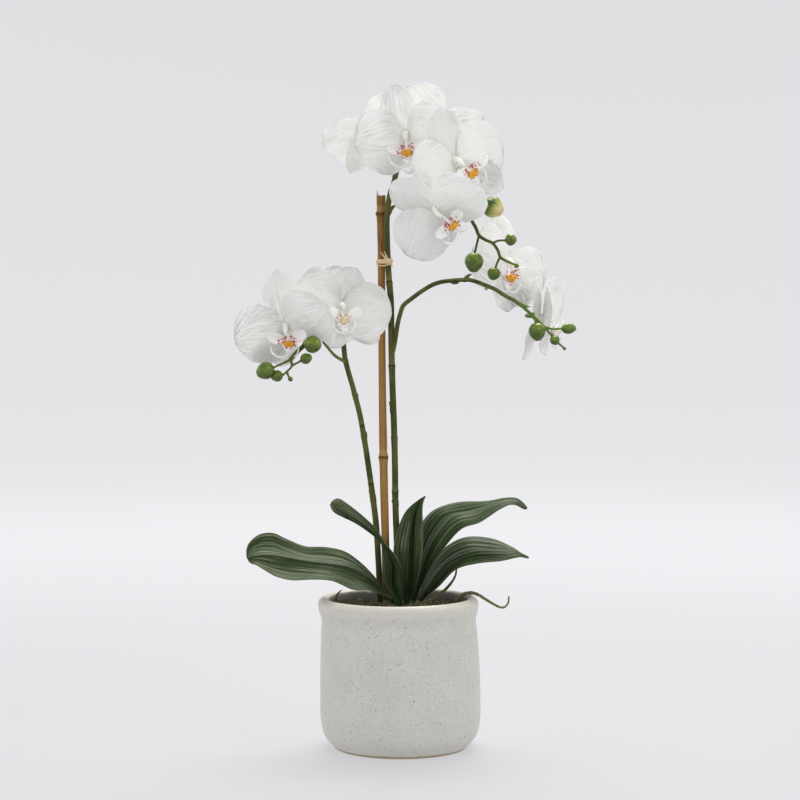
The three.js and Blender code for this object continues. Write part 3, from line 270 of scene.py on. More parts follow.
ROOTS = {
  "root_crown": {
    "route": [[22, 17, 122], [24, 18.5, 131], [31, 22, 134.5], [39.5, 26, 140], [46.4, 28, 147],
      [51, 29, 154.5], [52, 29, 160]],
    "radii": [1.5, 1.7, 1.7, 1.6, 1.4, 1.1, 0.8],
 },
  "root_over_rim": {
    "route": [[46, 18, 118], [48.5, 16.5, 129], [54, 14.5, 136.6], [60, 12.5, 140.0], [66, 10.5, 140.9],
      [72, 8.5, 139.2], [78.7, 6, 135.3], [85.8, 2, 131.5], [90.7, 0, 129.3], [95, -2, 129.2],
      [98.6, -4, 133.4], [99.2, -6, 139.6]],
    "radii": [1.7, 1.7, 1.7, 1.7, 1.65, 1.5, 1.35, 1.2, 1.05, 0.9, 0.7],
 },
  "root_left": {
    "route": [[-59.5, 5, 119], [-60, 5, 128], [-59.7, 5, 136], [-58, 5.5, 140.5], [-54.5, 6.5, 143.8]],
    "radii": [1.3, 1.4, 1.35, 1.1, 0.6],
 },
}

BOW_CENTRE = 0.35
RIPPLE = {"rate": 7, "offset": 1.3}
PETAL_FORM = {
    "outline": [[0.03, 0.12], [0.15, 0.62], [0.38, 0.96], [0.62, 1], [0.84, 0.78], [0.96, 0.4]],
    "tip": 1.006, "bow": 0.08, "bend": 0.2, "cup": -4.5, "wave": 1.4, "phase": 0.6, "crease": 0.35,
    "veins": 40,
}
SEPAL_FORM = {
    "outline": [[0.03, 0.2], [0.28, 0.7], [0.58, 1], [0.83, 0.8], [0.98, 0.34]],
    "tip": 1.018, "bow": 0.05, "bend": 0.22, "cup": -2.5, "wave": 0.8, "phase": 1.8, "crease": 0.45,
    "veins": 26,
}
TEPALS = [
    {"length": 44, "width": 34, "base": 0.4, "form": SEPAL_FORM},
    {"length": 46, "width": 57, "base": 2.4, "form": PETAL_FORM},
    {"length": 46, "width": 57, "base": 2.9, "form": PETAL_FORM},
    {"length": 43, "width": 30, "base": 0, "form": SEPAL_FORM},
    {"length": 43, "width": 30, "base": 0.7, "form": SEPAL_FORM},
]
TEPAL_ROWS = 44
TEPAL_COLUMNS = 41
TEPAL_THICKNESS = 0.5
LIP_HEART = (0, -11.5, 13)
LIP_REACH = 15.5
LIP_TIP_FORWARD = 1.2
LIP_THICKNESS = 0.55
LIP_MIDDLE_WIDTHS = [(0, 2.6), (0.12, 3.2), (0.3, 5.6), (0.42, 6.2), (0.6, 4.8), (0.8, 2.6), (1, 0.8)]
LOBE_ROUTE = [[1.5, -11.2, 13.4], [5, -11.2, 15.2], [9, -9.8, 17.4], [12.8, -7.8, 19.2], [16.2, -6, 19.4]]
LOBE_WIDTHS = [(0, 2.6), (0.15, 3.6), (0.4, 4.8), (0.65, 5.2), (0.82, 4.7), (0.93, 3.3), (1, 0.8)]
LOBE = {"cup": 0.055, "stand": 0.28, "curl": 2.4, "flutter": 0.3}
# side and size of the two tendrils at the lip's tip
WHISKERS = [(-1, 0.78), (1, 0.42)]
WHISKER_ROUTE = [[0.5, 2.2, 0], [3.2, 1, 1.6], [9, 0.8, 4.2], [15.5, 3.4, 6.2], [20, 8, 6.6], [20.5, 13, 5]]
CLAW_ROUTE = [[0, -3, 5.2], [0, -5.4, 8.6], [0, -9.2, 11.6], [0, -12.4, 13.6]]
COLUMN_ROUTE = [[0, 0.9, 3.2], [0, 2.4, 5.8], [0, 1.8, 8.8], [0, -0.8, 11.4], [0, -2.4, 12.2]]
CALLUS_AT = (0, -14.4, 17.2)
CALLUS_SIZE = 1.32
# heights of the joints on the stems
STEM_RINGS = {"flower_spike_tall": [233.5, 351, 428], "flower_spike_left": [241.6, 296]}
# painted shade: darker petal colour for the blooms that the light reaches least
PETAL_SHADE = {"a": 0.95, "b": 0.93, "c": 0.86, "f": 0.86, "g": 0.99, "j": 0.97}
# blooms whose callus is pale, and the share of the usual crimson on their lips
PALE_LIPS = {"g": 0.6, "j": 0.6, "d": 0.7, "e": 0.7, "h": 0.7}
LEAF = {"middle": 1.7, "edge": 0.8, "arch": 0.16, "pleat": 0.24, "veins": 5, "groove": 0.5,
    "round_from": 0.955}
LEAF_SEEDS = {
    "leaf_long_left": 1.3, "leaf_twisted": 4.7, "leaf_upright": 8.1, "leaf_upper_right": 12.9,
    "leaf_lower_right": 17.2,
}
LEAF_ROWS = 96
LEAF_COLUMNS = 77
LOBE_ROWS = 28
MIDDLE_ROWS = 30
LIP_COLUMNS = 21
# turned outlines as (radius, height) rows
POT_FOOT = [[0, 1.6], [50, 1.6], [54, 1.2], [56, 0.1], [59, 0]]
HEART = [
    [0, -7], [1.2, -6.9], [1.9, -6.2], [2.3, -4.6], [3.3, -2.6], [4.4, -0.9], [4.9, 0.8], [4.8, 3],
    [4.2, 4.2],
    [3, 4.6], [0, 4.6],
]
CAP = [[0, -1], [1, -0.8], [1.5, -0.2], [1.45, 0.5], [1, 1.2], [0.4, 1.5], [0, 1.55]]
CALLUS = [[0, -1.5], [1.2, -1.3], [1.95, -0.5], [2.05, 0.3], [1.5, 1.3], [0.8, 1.8], [0, 1.95]]
CALLUS_HORN = [[1.5, 0.5, 1], [2.1, 1.3, 2.3], [2.7, 2.6, 2.9]]
# radii that are spread evenly along a route
HORN_RADII = [1, 0.8, 0.35]
COLUMN_RADII = [3.2, 2.7, 2.3, 2.2, 2.2, 2, 1.5]
CLAW_RADII = [1.3, 1.15, 1.3, 2]
WHISKER_RADII = [0.9, 0.85, 0.95, 1.15, 0.3]
PEDICEL_RADII = [1.7, 1.35, 1.25, 1.25, 1.3, 1.55]
TWIG_RADII = [1.3, 1, 0.95]
MOSS_RADII = [0.34, 0.3, 0.16]
SPLINTER_RADII = [1, 0.9, 0.55, 0.2]
# heights and widths of a bark chip's layers, and lean and width of the knot's strands
CHIP_LAYERS = [(-0.5, 0.82), (-0.2, 1.0), (0.25, 0.96), (0.5, 0.72)]
KNOT_STRANDS = [(0.5, 1.15), (-0.6, 1.05), (0.05, 0.9)]

# Curves and frames


def unit(vectors):
    vectors = np.asarray(vectors, float)
    return vectors / np.maximum(np.linalg.norm(vectors, axis=-1, keepdims=True), 1e-9)


def spline(points, places):
    """Points of the centripetal curve through points, at shares from 0 to 1 of its knots."""
    knots = np.asarray(points, float)
    padded = np.vstack([2 * knots[0] - knots[1], knots, 2 * knots[-1] - knots[-2]])
    spans = len(knots) - 1
    result = []
    for place in places:
        scaled = min(max(place, 0), 1) * spans
        first = min(int(scaled), spans - 1)
        s = scaled - first
        p0, p1, p2, p3 = padded[first:first + 4]
        d0, d1, d2 = [max(np.linalg.norm(b - a) ** 0.5, 1e-4) for a, b in ((p0, p1), (p1, p2), (p2, p3))]
        t1 = ((p1 - p0) / d0 - (p2 - p0) / (d0 + d1) + (p2 - p1) / d1) * d1
        t2 = ((p2 - p1) / d1 - (p3 - p1) / (d1 + d2) + (p3 - p2) / d2) * d1
        square = 3 * (p2 - p1) - 2 * t1 - t2
        cube = 2 * (p1 - p2) + t1 + t2
        result.append(p1 + s * (t1 + s * (square + s * cube)))
    return np.array(result)


def even_curve(points, count):
    """Points spread evenly along the curve through points, and their distances from its start."""
    fine = spline(points, np.linspace(0, 1, 16 * len(points)))
    steps = np.linalg.norm(np.diff(fine, axis=0), axis=1)
    reach = np.concatenate([[0], np.cumsum(steps)])
    wanted = np.linspace(0, reach[-1], count)
    return np.column_stack([np.interp(wanted, reach, fine[:, k]) for k in range(3)]), wanted


def frames_along(centres):
    """Two directions across the curve at each point, carried along without twist."""
    tangents = unit(np.gradient(centres, axis=0))
    normal = np.array([0.0, 1.0, 0.0]) if abs(tangents[0][1]) < 0.9 else np.array([1.0, 0.0, 0.0])
    normals = []
    for tangent in tangents:
        normal = unit(normal - tangent * np.dot(normal, tangent))
        normals.append(normal)
    normals = np.array(normals)
    return normals, np.cross(tangents, normals)


def spread(values, places):
    """The values at places of a list that is spread evenly from 0 to 1."""
    return np.interp(places, np.linspace(0, 1, len(values)), values)


def circle(sides):
    """Angles spread evenly round a full turn."""
    return np.linspace(0, 2 * np.pi, sides, endpoint=False)


def bell(off, width):
    return np.exp(-(off / width) ** 2)


# Meshes. A shape gathers the parts of one piece. Each point carries a place for its material to read.


class Shape:
    def __init__(self):
        self.points = []
        self.places = []
        self.faces = []
        self.looks = []
        self.count = 0

    def add(self, points, faces, places, look=0):
        points = np.asarray(points, float).reshape(-1, 3)
        self.points.append(points)
        self.places.append(np.asarray(places, float).reshape(-1, 3))
        self.faces.extend([tuple(int(k) + self.count for k in face) for face in faces])
        self.looks.extend([look] * len(faces))
        self.count += len(points)

    def build(self, name, materials, sharp=55):
        mesh = bpy.data.meshes.new(name)
        points = np.vstack(self.points) * MM
        mesh.from_pydata(points.tolist(), [], self.faces)
        for material in materials:
            mesh.materials.append(material)
        mesh.polygons.foreach_set("material_index", self.looks)
        mesh.polygons.foreach_set("use_smooth", [True] * len(self.faces))
        place = mesh.attributes.new("place", "FLOAT_VECTOR", "POINT")
        place.data.foreach_set("vector", np.vstack(self.places).astype(np.float32).ravel())
        mesh.set_sharp_from_angle(angle=math.radians(sharp))
        mesh.update()
        piece = bpy.data.objects.new(name, mesh)
        bpy.context.scene.collection.objects.link(piece)
        return piece


def ring_faces(rings, sides):
    faces = []
    for i in range(rings - 1):
        for k in range(sides):
            a = i * sides + k
            b = i * sides + (k + 1) % sides
            faces.append((a, b, b + sides, a + sides))
    return faces


def closed_faces(rings, sides):
    """The faces of a stack of rings with a flat face at both ends."""
    last = (rings - 1) * sides
    return ring_faces(rings, sides) + [tuple(range(sides))[::-1], tuple(range(last, last + sides))]


def add_tube(shape, centres, radii, sides, look=0, flat=1.0, rounded=True, tag=0.0):
    """A tube round the centres, flattened to a share of its width across, with rounded or plain ends."""
    centres = np.asarray(centres, float)
    radii = np.asarray(radii, float)
    if rounded:
        centres, radii = round_ends(centres, radii)
    normals, sideways = frames_along(centres)
    cosines, sines = np.cos(circle(sides)), np.sin(circle(sides))
    rings = (centres[:, None] + radii[:, None, None] * (
        normals[:, None] * cosines[None, :, None] * flat + sideways[:, None] * sines[None, :, None]))
    reach = np.concatenate([[0], np.cumsum(np.linalg.norm(np.diff(centres, axis=0), axis=1))])
    places = np.stack(np.broadcast_arrays(reach[:, None], cosines + tag, sines), axis=-1)
    shape.add(rings, closed_faces(len(centres), sides), places, look)


def round_ends(centres, radii):
    """The same route with three more rings at each end, closing on it like a dome."""
    tangents = unit(np.gradient(centres, axis=0))
    domes = np.radians([80, 55, 28])
    head = [centres[0] - tangents[0] * radii[0] * math.sin(d) for d in domes]
    tail = [centres[-1] + tangents[-1] * radii[-1] * math.sin(d) for d in domes[::-1]]
    head_radii = [radii[0] * math.cos(d) for d in domes]
    tail_radii = [radii[-1] * math.cos(d) for d in domes[::-1]]
    return np.vstack([head, centres, tail]), np.concatenate([head_radii, radii, tail_radii])


def add_route(shape, route, radii, steps, sides, **more):
    """A tube along the curve through route, with radii spread evenly along it."""
    centres, reach = even_curve(route, steps)
    add_tube(shape, centres, spread(radii, reach / reach[-1]), sides, **more)


def add_lathe(shape, profile, segments, move, look=0, tag=0.0):
    """A turned and moved form from (radius, height) rows that start and end on its axis."""
    ring = [(math.cos(turn), math.sin(turn)) for turn in circle(segments)]
    body = profile[1:-1]
    ends = (profile[0][1], profile[-1][1])
    points = [[r * c, r * s, z] for r, z in body for c, s in ring] + [[0, 0, z] for z in ends]
    places = [[z, c + tag, s] for _, z in body for c, s in ring] + [[z, tag, 0] for z in ends]
    top = (len(body) - 1) * segments
    first, last = len(points) - 2, len(points) - 1
    faces = ring_faces(len(body), segments)
    faces += [(k, first, (k + 1) % segments) for k in range(segments)]
    faces += [(top + k, top + (k + 1) % segments, last) for k in range(segments)]
    shape.add(move(np.array(points, float)), faces, places, look)


def add_blade(shape, grid, thickness, places, look=0):
    """A thin closed shell round a grid of points, with its two faces half a thickness off it."""
    rows, columns = grid.shape[:2]
    normal = unit(np.cross(np.gradient(grid, axis=0), np.gradient(grid, axis=1)))
    half = np.broadcast_to(thickness, (rows, columns))[..., None] / 2
    points = np.concatenate([(grid + normal * half).reshape(-1, 3), (grid - normal * half).reshape(-1, 3)])
    back = rows * columns
    faces = []
    for i in range(rows - 1):
        for j in range(columns - 1):
            a = i * columns + j
            b, c, d = a + 1, a + columns, a + columns + 1
            faces.append((a, c, d, b))
            faces.append((back + a, back + b, back + d, back + c))
    border = list(range(columns - 1))
    border += [i * columns + columns - 1 for i in range(rows - 1)]
    border += [(rows - 1) * columns + j for j in range(columns - 1, 0, -1)]
    border += [i * columns for i in range(rows - 1, 0, -1)]
    for start, end in zip(border, border[1:] + border[:1]):
        faces.append((start, end, back + end, back + start))
    shape.add(points, faces, np.concatenate([places.reshape(-1, 3)] * 2), look)


# Materials


class Look:
    """A material with one surface shader, and short ways to add the nodes that feed it."""

    def __init__(self, name, **sockets):
        self.material = bpy.data.materials.new(name)
        self.material.use_nodes = True
        self.tree = self.material.node_tree
        self.shader = self.tree.nodes["Principled BSDF"]
        for key, value in sockets.items():
            self.put(self.shader, key.replace("_", " "), value)

    def put(self, node, key, value):
        socket = node.inputs[key]
        if isinstance(value, bpy.types.NodeSocket):
            self.tree.links.new(value, socket)
        else:
            socket.default_value = value

    def add(self, kind, inputs=None, **settings):
        node = self.tree.nodes.new("ShaderNode" + kind)
        for key, value in settings.items():
            setattr(node, key, value)
        for key, value in (inputs or {}).items():
            self.put(node, key, value)
        return node

    def spot(self):
        """Where a point is in the part's frame, in millimetres."""
        where = self.add("TexCoord").outputs["Object"]
        return self.times(where, (1 / MM, 1 / MM, 1 / MM))

    def place(self):
        return self.add("Attribute", attribute_name="place").outputs["Vector"]

    def times(self, vector, scale):
        node = self.add("VectorMath", operation="MULTIPLY")
        self.put(node, 0, vector)
        node.inputs[1].default_value = scale
        return node.outputs[0]

    def part(self, vector, axis):
        return self.add("SeparateXYZ", {"Vector": vector}).outputs[axis]

    def join(self, x, y, z):
        return self.add("CombineXYZ", {"X": x, "Y": y, "Z": z}).outputs[0]

    def noise(self, vector, scale, detail=3.0, roughness=0.55, distortion=0.0):
        inputs = {"Vector": vector, "Scale": scale, "Detail": detail, "Roughness": roughness}
        inputs["Distortion"] = distortion
        return self.add("TexNoise", inputs).outputs[0]

    def math(self, operation, first, second=0.0, third=None):
        node = self.add("Math", operation=operation)
        self.put(node, 0, first)
        self.put(node, 1, second)
        if third is not None:
            self.put(node, 2, third)
        return node.outputs[0]

    def band(self, value, low, high, start=0.0, end=1.0):
        """value taken smoothly from low..high to start..end, and held there outside."""
        inputs = {"Value": value, "From Min": low, "From Max": high, "To Min": start, "To Max": end}
        return self.add("MapRange", inputs, interpolation_type="SMOOTHSTEP").outputs[0]

    def blend(self, share, first, second):
        node = self.add("Mix", data_type="RGBA")
        self.put(node, 0, share)
        for socket, value in ((6, first), (7, second)):
            if isinstance(value, tuple):
                value = (*value[:3], 1.0)
            self.put(node, socket, value)
        return node.outputs[2]

    def wash(self, tone, mask, low, high, share, colour):
        """tone with a colour laid over it, up to share, as the mask goes from low to high."""
        return self.blend(self.band(mask, low, high, 0, share), tone, colour)

    def colour(self, value):
        self.put(self.shader, "Base Color", value)

    def bump(self, height, distance, strength=1.0):
        """Relief of a height from 0 to 1, distance millimetres deep."""
        node = self.add("Bump", {"Height": height, "Distance": distance * MM, "Strength": strength})
        old = self.shader.inputs["Normal"].links
        if old:
            self.put(node, "Normal", old[0].from_socket)
        self.put(self.shader, "Normal", node.outputs[0])


def finish_piece(piece, slot, *nodes):
    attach(piece, "root")
    if nodes:
        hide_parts(*nodes)


# Camera, floor and light


def make_camera():
    data = bpy.data.cameras.new("camera")
    data.sensor_width = 36
    data.lens = CAMERA["focal"] / CAMERA["picture"] * data.sensor_width
    data.shift_x = -CAMERA["aside"] / CAMERA["picture"]
    camera = bpy.data.objects.new("camera", data)
    camera.location = [value * MM for value in CAMERA["at"]]
    camera.rotation_euler = (math.pi / 2 - CAMERA["pitch"], 0, 0)
    bpy.context.scene.collection.objects.link(camera)
    bpy.context.scene.camera = camera


def make_floor():
    """A pale round floor that turns up into a wall all round, like a studio sweep."""
    flat, wall, height = FLOOR["flat"], FLOOR["wall"], FLOOR["height"]
    bend = [(wall - (wall - flat) * (1 - math.sin(t)), (wall - flat) * (1 - math.cos(t)))
            for t in np.linspace(0, math.pi / 2, 24)]
    profile = [(300, 0), (900, 0)] + bend + [(wall, height)]
    shape = Shape()
    segments = 96
    rings = [[r * math.cos(t), r * math.sin(t), z] for r, z in profile for t in circle(segments)]
    faces = ring_faces(len(profile), segments) + [tuple(range(segments))]
    shape.add(rings, faces, np.zeros((len(rings), 3)))
    look = Look("floor", Roughness=0.6, Specular_IOR_Level=0.2, Emission_Color=(0.99, 0.985, 1.01, 1))
    spot = look.spot()
    far = look.add("VectorMath", {0: spot}, operation="LENGTH").outputs["Value"]
    glow = look.band(far, 500, 2000, *FLOOR["glow"])
    look.put(look.shader, "Emission Strength", glow)
    cloud = look.noise(spot, 0.004, detail=2)
    look.colour(look.blend(cloud, FLOOR["colour"], tuple(0.985 * value for value in FLOOR["colour"])))
    floor = shape.build("floor", [look.material])


def make_light(name, at, size, power, colour):
    data = bpy.data.lights.new(name, "AREA")
    data.shape = "DISK"
    data.size = size
    data.energy = power
    data.color = colour
    light = bpy.data.objects.new(name, data)
    light.location = at
    x, y, z = np.array(LIGHT_AIM) - np.array(at)
    light.rotation_euler = (math.atan2(math.hypot(x, y), -z), 0, math.atan2(-x, y))
    bpy.context.scene.collection.objects.link(light)


def make_world():
    bpy.context.scene.view_settings.view_transform = "Standard"
    world = bpy.data.worlds.new("studio")
    world.use_nodes = True
    background = world.node_tree.nodes["Background"]
    background.inputs["Color"].default_value = WORLD["colour"]
    background.inputs["Strength"].default_value = WORLD["strength"]
    bpy.context.scene.world = world


# Pot and soil


def thrown(points):
    """A turned form moved the way a hand-thrown pot wanders from a true round."""
    x, y, z = points.T
    rise = np.maximum(0, (z - POT["foot"]) / (POT["height"] - POT["foot"]))
    turn = np.arctan2(y, x)
    slow = np.sin(2 * turn + 0.7) * rise
    quick = 0.6 * np.sin(3 * turn + 2.4 * rise) * np.minimum(1, 3 * rise)
    scale = 1 + POT["wander"] * (slow + quick)
    return np.column_stack([x * scale + POT["shift"] * rise * rise, y * scale, z])


def throwing_lines(points):
    """Faint rings and one dent that fingers leave on the wall of a thrown pot."""
    x, y, z = points.T
    radius = np.hypot(x, y)
    out = (radius > 62) & (z > 14) & (z < 122)
    turn = np.arctan2(y, x)
    ring = np.sin(0.42 * z + 0.5 * turn) * 0.10 + np.sin(1.07 * z + 1.3) * 0.05
    dent = -0.5 * bell(z - 60, 26) * bell(turn + 2.0, 0.7)
    scale = 1 + np.where(out, ring + dent, 0) / np.maximum(radius, 1)
    return np.column_stack([x * scale, y * scale, z])


def make_pot():
    wall = [[radius, 0, height] for radius, height in POT["outside"] + POT["inside"]]
    curve = spline(wall, np.linspace(0, 1, 150))
    floor = [[56, POT["floor"]], [30, POT["floor"]], [0, POT["floor"]]]
    profile = POT_FOOT + [[row[0], max(row[2], 0.4)] for row in curve] + floor
    shape = Shape()
    add_lathe(shape, profile, 144, move=lambda points: throwing_lines(thrown(points)))
    piece = shape.build("pot_stoneware", [pot_look()])
    finish_piece(piece, "stoneware", "pot")


def pot_look():
    look = Look("stoneware", Roughness=0.42, Specular_IOR_Level=0.4)
    spot = look.spot()
    mottle = look.noise(spot, 0.035, detail=5, roughness=0.6)
    fine = look.noise(spot, 0.5, detail=4)
    glaze = look.blend(look.band(mottle, 0.3, 0.7), (0.63, 0.62, 0.57), (0.675, 0.665, 0.615))
    glaze = look.blend(look.math("MULTIPLY", fine, 0.35), glaze, (0.58, 0.575, 0.525))
    for scale, chosen, size, tone in POT_SPECKS:
        cells = look.add("TexVoronoi", {"Vector": spot, "Scale": scale})
        pick = look.part(cells.outputs["Color"], 0)
        width = look.math("MULTIPLY", look.part(cells.outputs["Color"], 1), size)
        inside = look.math("LESS_THAN", cells.outputs["Distance"], width)
        mark = look.math("MULTIPLY", inside, look.math("GREATER_THAN", pick, chosen))
        glaze = look.blend(look.math("MULTIPLY", mark, 0.85), glaze, tone)
    height = look.part(spot, 2)
    glaze = look.wash(glaze, height, 126.5, 130.5, 0.6, (0.66, 0.65, 0.56))
    rim = look.band(height, 134.5, 138.6)
    glaze = look.blend(look.math("MULTIPLY", rim, 0.75), glaze, (0.54, 0.50, 0.40))
    bare = look.band(look.math("ADD", height, look.math("MULTIPLY", mottle, 2.0)), 4.4, 2.6)
    glaze = look.blend(bare, glaze, (0.36, 0.27, 0.17))
    # painted shade with staining: the inner wall is darkened from a ragged line under the rim downwards,
    # above 60 mm
    flat = look.add("VectorMath", {0: look.times(spot, (1, 1, 0))}, operation="LENGTH").outputs["Value"]
    edge = look.math("ADD", height, look.math("MULTIPLY", look.noise(spot, 0.06, detail=4), 9.0))
    inner_shade_and_stain = look.math("MULTIPLY", look.band(flat, 67.5, 65.3), look.band(edge, 144.5, 139.5, 0, 0.88))
    inner_shade_and_stain = look.math("MULTIPLY", inner_shade_and_stain, look.band(height, 60, 80))
    look.colour(look.blend(inner_shade_and_stain, glaze, (0.10, 0.095, 0.08)))
    look.put(look.shader, "Roughness", look.band(mottle, 0.2, 0.8, 0.36, 0.5))
    look.bump(look.noise(spot, 0.25, detail=6, roughness=0.6), 0.35, 0.5)
    look.bump(look.noise(spot, 1.6, detail=2), 0.12, 0.5)
    return look.material


def soil_height(x, y):
    dome = SOIL["dome"] * bell(np.hypot(x, y), SOIL["dome_radius"])
    crumbs = np.sin(0.33 * x + 1.3) * np.cos(0.29 * y) + 0.6 * np.sin(0.21 * x - 0.43 * y)
    return SOIL["edge"] + dome + SOIL["bump"] * crumbs


def make_soil():
    """The bed of bark: a rough crust in the pot, that the chips and moss strands lie on."""
    shape = Shape()
    wall = [[r - SOIL["gap"], z] for r, z in POT["inside"]][::-1]
    wall[0][1] = POT["floor"] + 2 * SOIL["gap"]
    edge = wall[-1][0]
    top = [[edge * share, SOIL["edge"]] for share in np.linspace(0.995, 0.02, 44)] + [[0, SOIL["edge"]]]
    profile = [[0, POT["floor"] + SOIL["gap"]]] + wall + top

    def crust(points):
        x, y, z = points.T
        inner = (z > SOIL["edge"] - 0.01) & (np.hypot(x, y) < edge - 0.2)
        rough = 0.5 * np.sin(1.9 * x + 0.8 * np.sin(1.1 * y)) * np.sin(1.7 * y + 1.1 * np.sin(0.9 * x))
        raised = np.where(inner, soil_height(x, y) + rough, z)
        return thrown(np.column_stack([x, y, raised]))

    add_lathe(shape, profile, 120, move=crust)
    piece = shape.build("soil_bed", [soil_look()])
    finish_piece(piece, "bark_mix", "soil")


def clear_of_stems(x, y, margin):
    return all(math.hypot(x - stem_x, y - stem_y) >= radius + margin for stem_x, stem_y, radius in SOIL_STEMS)


def random_spot(reach):
    """A spot drawn evenly from a round of the soil."""
    radius = reach * math.sqrt(rng.uniform())
    turn = rng.uniform(0, 2 * math.pi)
    return radius * math.cos(turn), radius * math.sin(turn)


def add_chip(shape, centre, size, turn):
    """One flake of bark: an uneven slab with a worn outline."""
    sides = 9
    outline = circle(sides)
    reach = 1 + rng.uniform(-0.28, 0.28, sides)
    long, wide, thick = size
    tilt_x, tilt_y = rng.uniform(-0.35, 0.35, 2)
    cosine, sine = np.cos(turn), np.sin(turn)
    rows = []
    for height, share in CHIP_LAYERS:
        x = long * share * reach * np.cos(outline)
        y = wide * share * reach * np.sin(outline)
        z = thick * height + tilt_x * x + tilt_y * y + rng.uniform(-0.12, 0.12, sides) * thick
        rows.append(np.column_stack([x * cosine - y * sine, x * sine + y * cosine, z]))
    points = np.vstack(rows) + centre
    shape.add(points, closed_faces(len(rows), sides), np.tile([rng.uniform(), 0, 0], (len(points), 1)))


def make_chips():
    chips = Shape()
    placed = 0
    while placed < SOIL["chips"]:
        x, y = random_spot(57)
        long, wide, thick = rng.uniform(2.2, 5.2), rng.uniform(1.4, 3.0), rng.uniform(0.9, 2.0)
        if clear_of_stems(x, y, 0.9 * long):
            centre = [x - 2, y, soil_height(x, y) + 0.2 * thick]
            add_chip(chips, centre, (long, wide, thick), rng.uniform(0, math.pi))
            placed += 1
    piece = chips.build("bark_chips", [chip_look()])
    finish_piece(piece, "bark_mix")


def make_moss():
    moss = Shape()
    placed = 0
    shares = np.linspace(0, 1, 9)
    while placed < SOIL["strands"]:
        x, y = random_spot(58)
        heading = rng.uniform(0, 2 * math.pi)
        length = rng.uniform(5, 13)
        bend = rng.uniform(-1.4, 1.4)
        lift = rng.uniform(1.4, 6.5)
        headings = (heading + bend * shares)[:-1]
        path_x = x - 2 + length * np.concatenate([[0], np.cumsum(np.cos(headings))]) / 8
        path_y = y + length * np.concatenate([[0], np.cumsum(np.sin(headings))]) / 8
        inside = np.hypot(path_x, path_y).max() < 60
        if inside and all(clear_of_stems(a, b, 1.2) for a, b in zip(path_x, path_y)):
            path_z = soil_height(path_x, path_y) + lift * np.sin(np.pi * shares) + 0.6
            centres = np.column_stack([path_x, path_y, path_z])
            add_tube(moss, centres, spread(MOSS_RADII, shares), 4, rounded=False, tag=rng.uniform())
            placed += 1
    piece = moss.build("moss_strands", [moss_look()])
    finish_piece(piece, "bark_mix")


def soil_look():
    look = Look("bark_bed", Roughness=0.95)
    spot = look.spot()
    patches = look.noise(spot, 0.12, detail=5)
    grains = look.noise(spot, 0.9, detail=4, roughness=0.7)
    tone = look.blend(look.band(patches, 0.35, 0.65), (0.012, 0.010, 0.007), (0.05, 0.043, 0.026))
    look.colour(look.blend(look.band(grains, 0.45, 0.75), tone, (0.10, 0.075, 0.045)))
    look.bump(grains, 1.2)
    return look.material


def chip_look():
    look = Look("bark_chip", Roughness=0.9)
    spot = look.spot()
    shade = look.part(look.place(), 0)
    grain = look.noise(look.times(spot, (0.4, 2.2, 2.2)), 0.8, detail=4)
    tone = look.blend(shade, (0.022, 0.016, 0.010), (0.11, 0.075, 0.042))
    look.colour(look.wash(tone, grain, 0.4, 0.7, 0.7, (0.16, 0.115, 0.07)))
    look.bump(grain, 0.5)
    return look.material


def moss_look():
    look = Look("moss", Roughness=0.85)
    shade = look.noise(look.spot(), 0.15, detail=3)
    tone = look.blend(look.band(shade, 0.35, 0.65), (0.045, 0.05, 0.016), (0.16, 0.145, 0.055))
    fresh = look.band(look.part(look.place(), 2), 0.5, 0.75, 0, 0.8)
    look.colour(look.blend(fresh, tone, (0.36, 0.36, 0.15)))
    look.bump(look.noise(look.spot(), 3.0), 0.1)
    return look.material


# Stake and tie


def make_stake():
    shape = Shape()
    centres, reach = even_curve(STAKE_ROUTE, 150)
    radii = spread(STAKE_RADII, reach / reach[-1])
    for node in STAKE_NODES:
        off = centres[:, 2] - node
        radii = radii + 1.15 * bell(off, 1.5) - 0.25 * bell(off - 3.4, 1.2) + 0.4 * bell(off + 3, 4)
    add_tube(shape, centres, radii, 28, rounded=False)
    end = np.array(STAKE_ROUTE[-1])
    rim = 3.096
    for index in range(STAKE_SPLINTERS):
        turn = 2 * math.pi * index / STAKE_SPLINTERS + rng.uniform(-0.2, 0.2)
        foot = end + [rim * math.cos(turn), rim * math.sin(turn), -6]
        rise = rng.uniform(6.2, 7.4)
        lean = rng.uniform(0, 0.35)
        tip = foot + [lean * math.cos(turn), lean * math.sin(turn), rise]
        route = [foot, (foot + tip) / 2, tip]
        add_route(shape, route, [0.75, 0.6, 0.25], 5, 6, flat=0.6, tag=3)
    add_route(shape, SPLINTER_ROUTE, SPLINTER_RADII, 8, 8, tag=3)
    piece = shape.build("bamboo_stake", [bamboo_look()])
    finish_piece(piece, "bamboo", "stake")


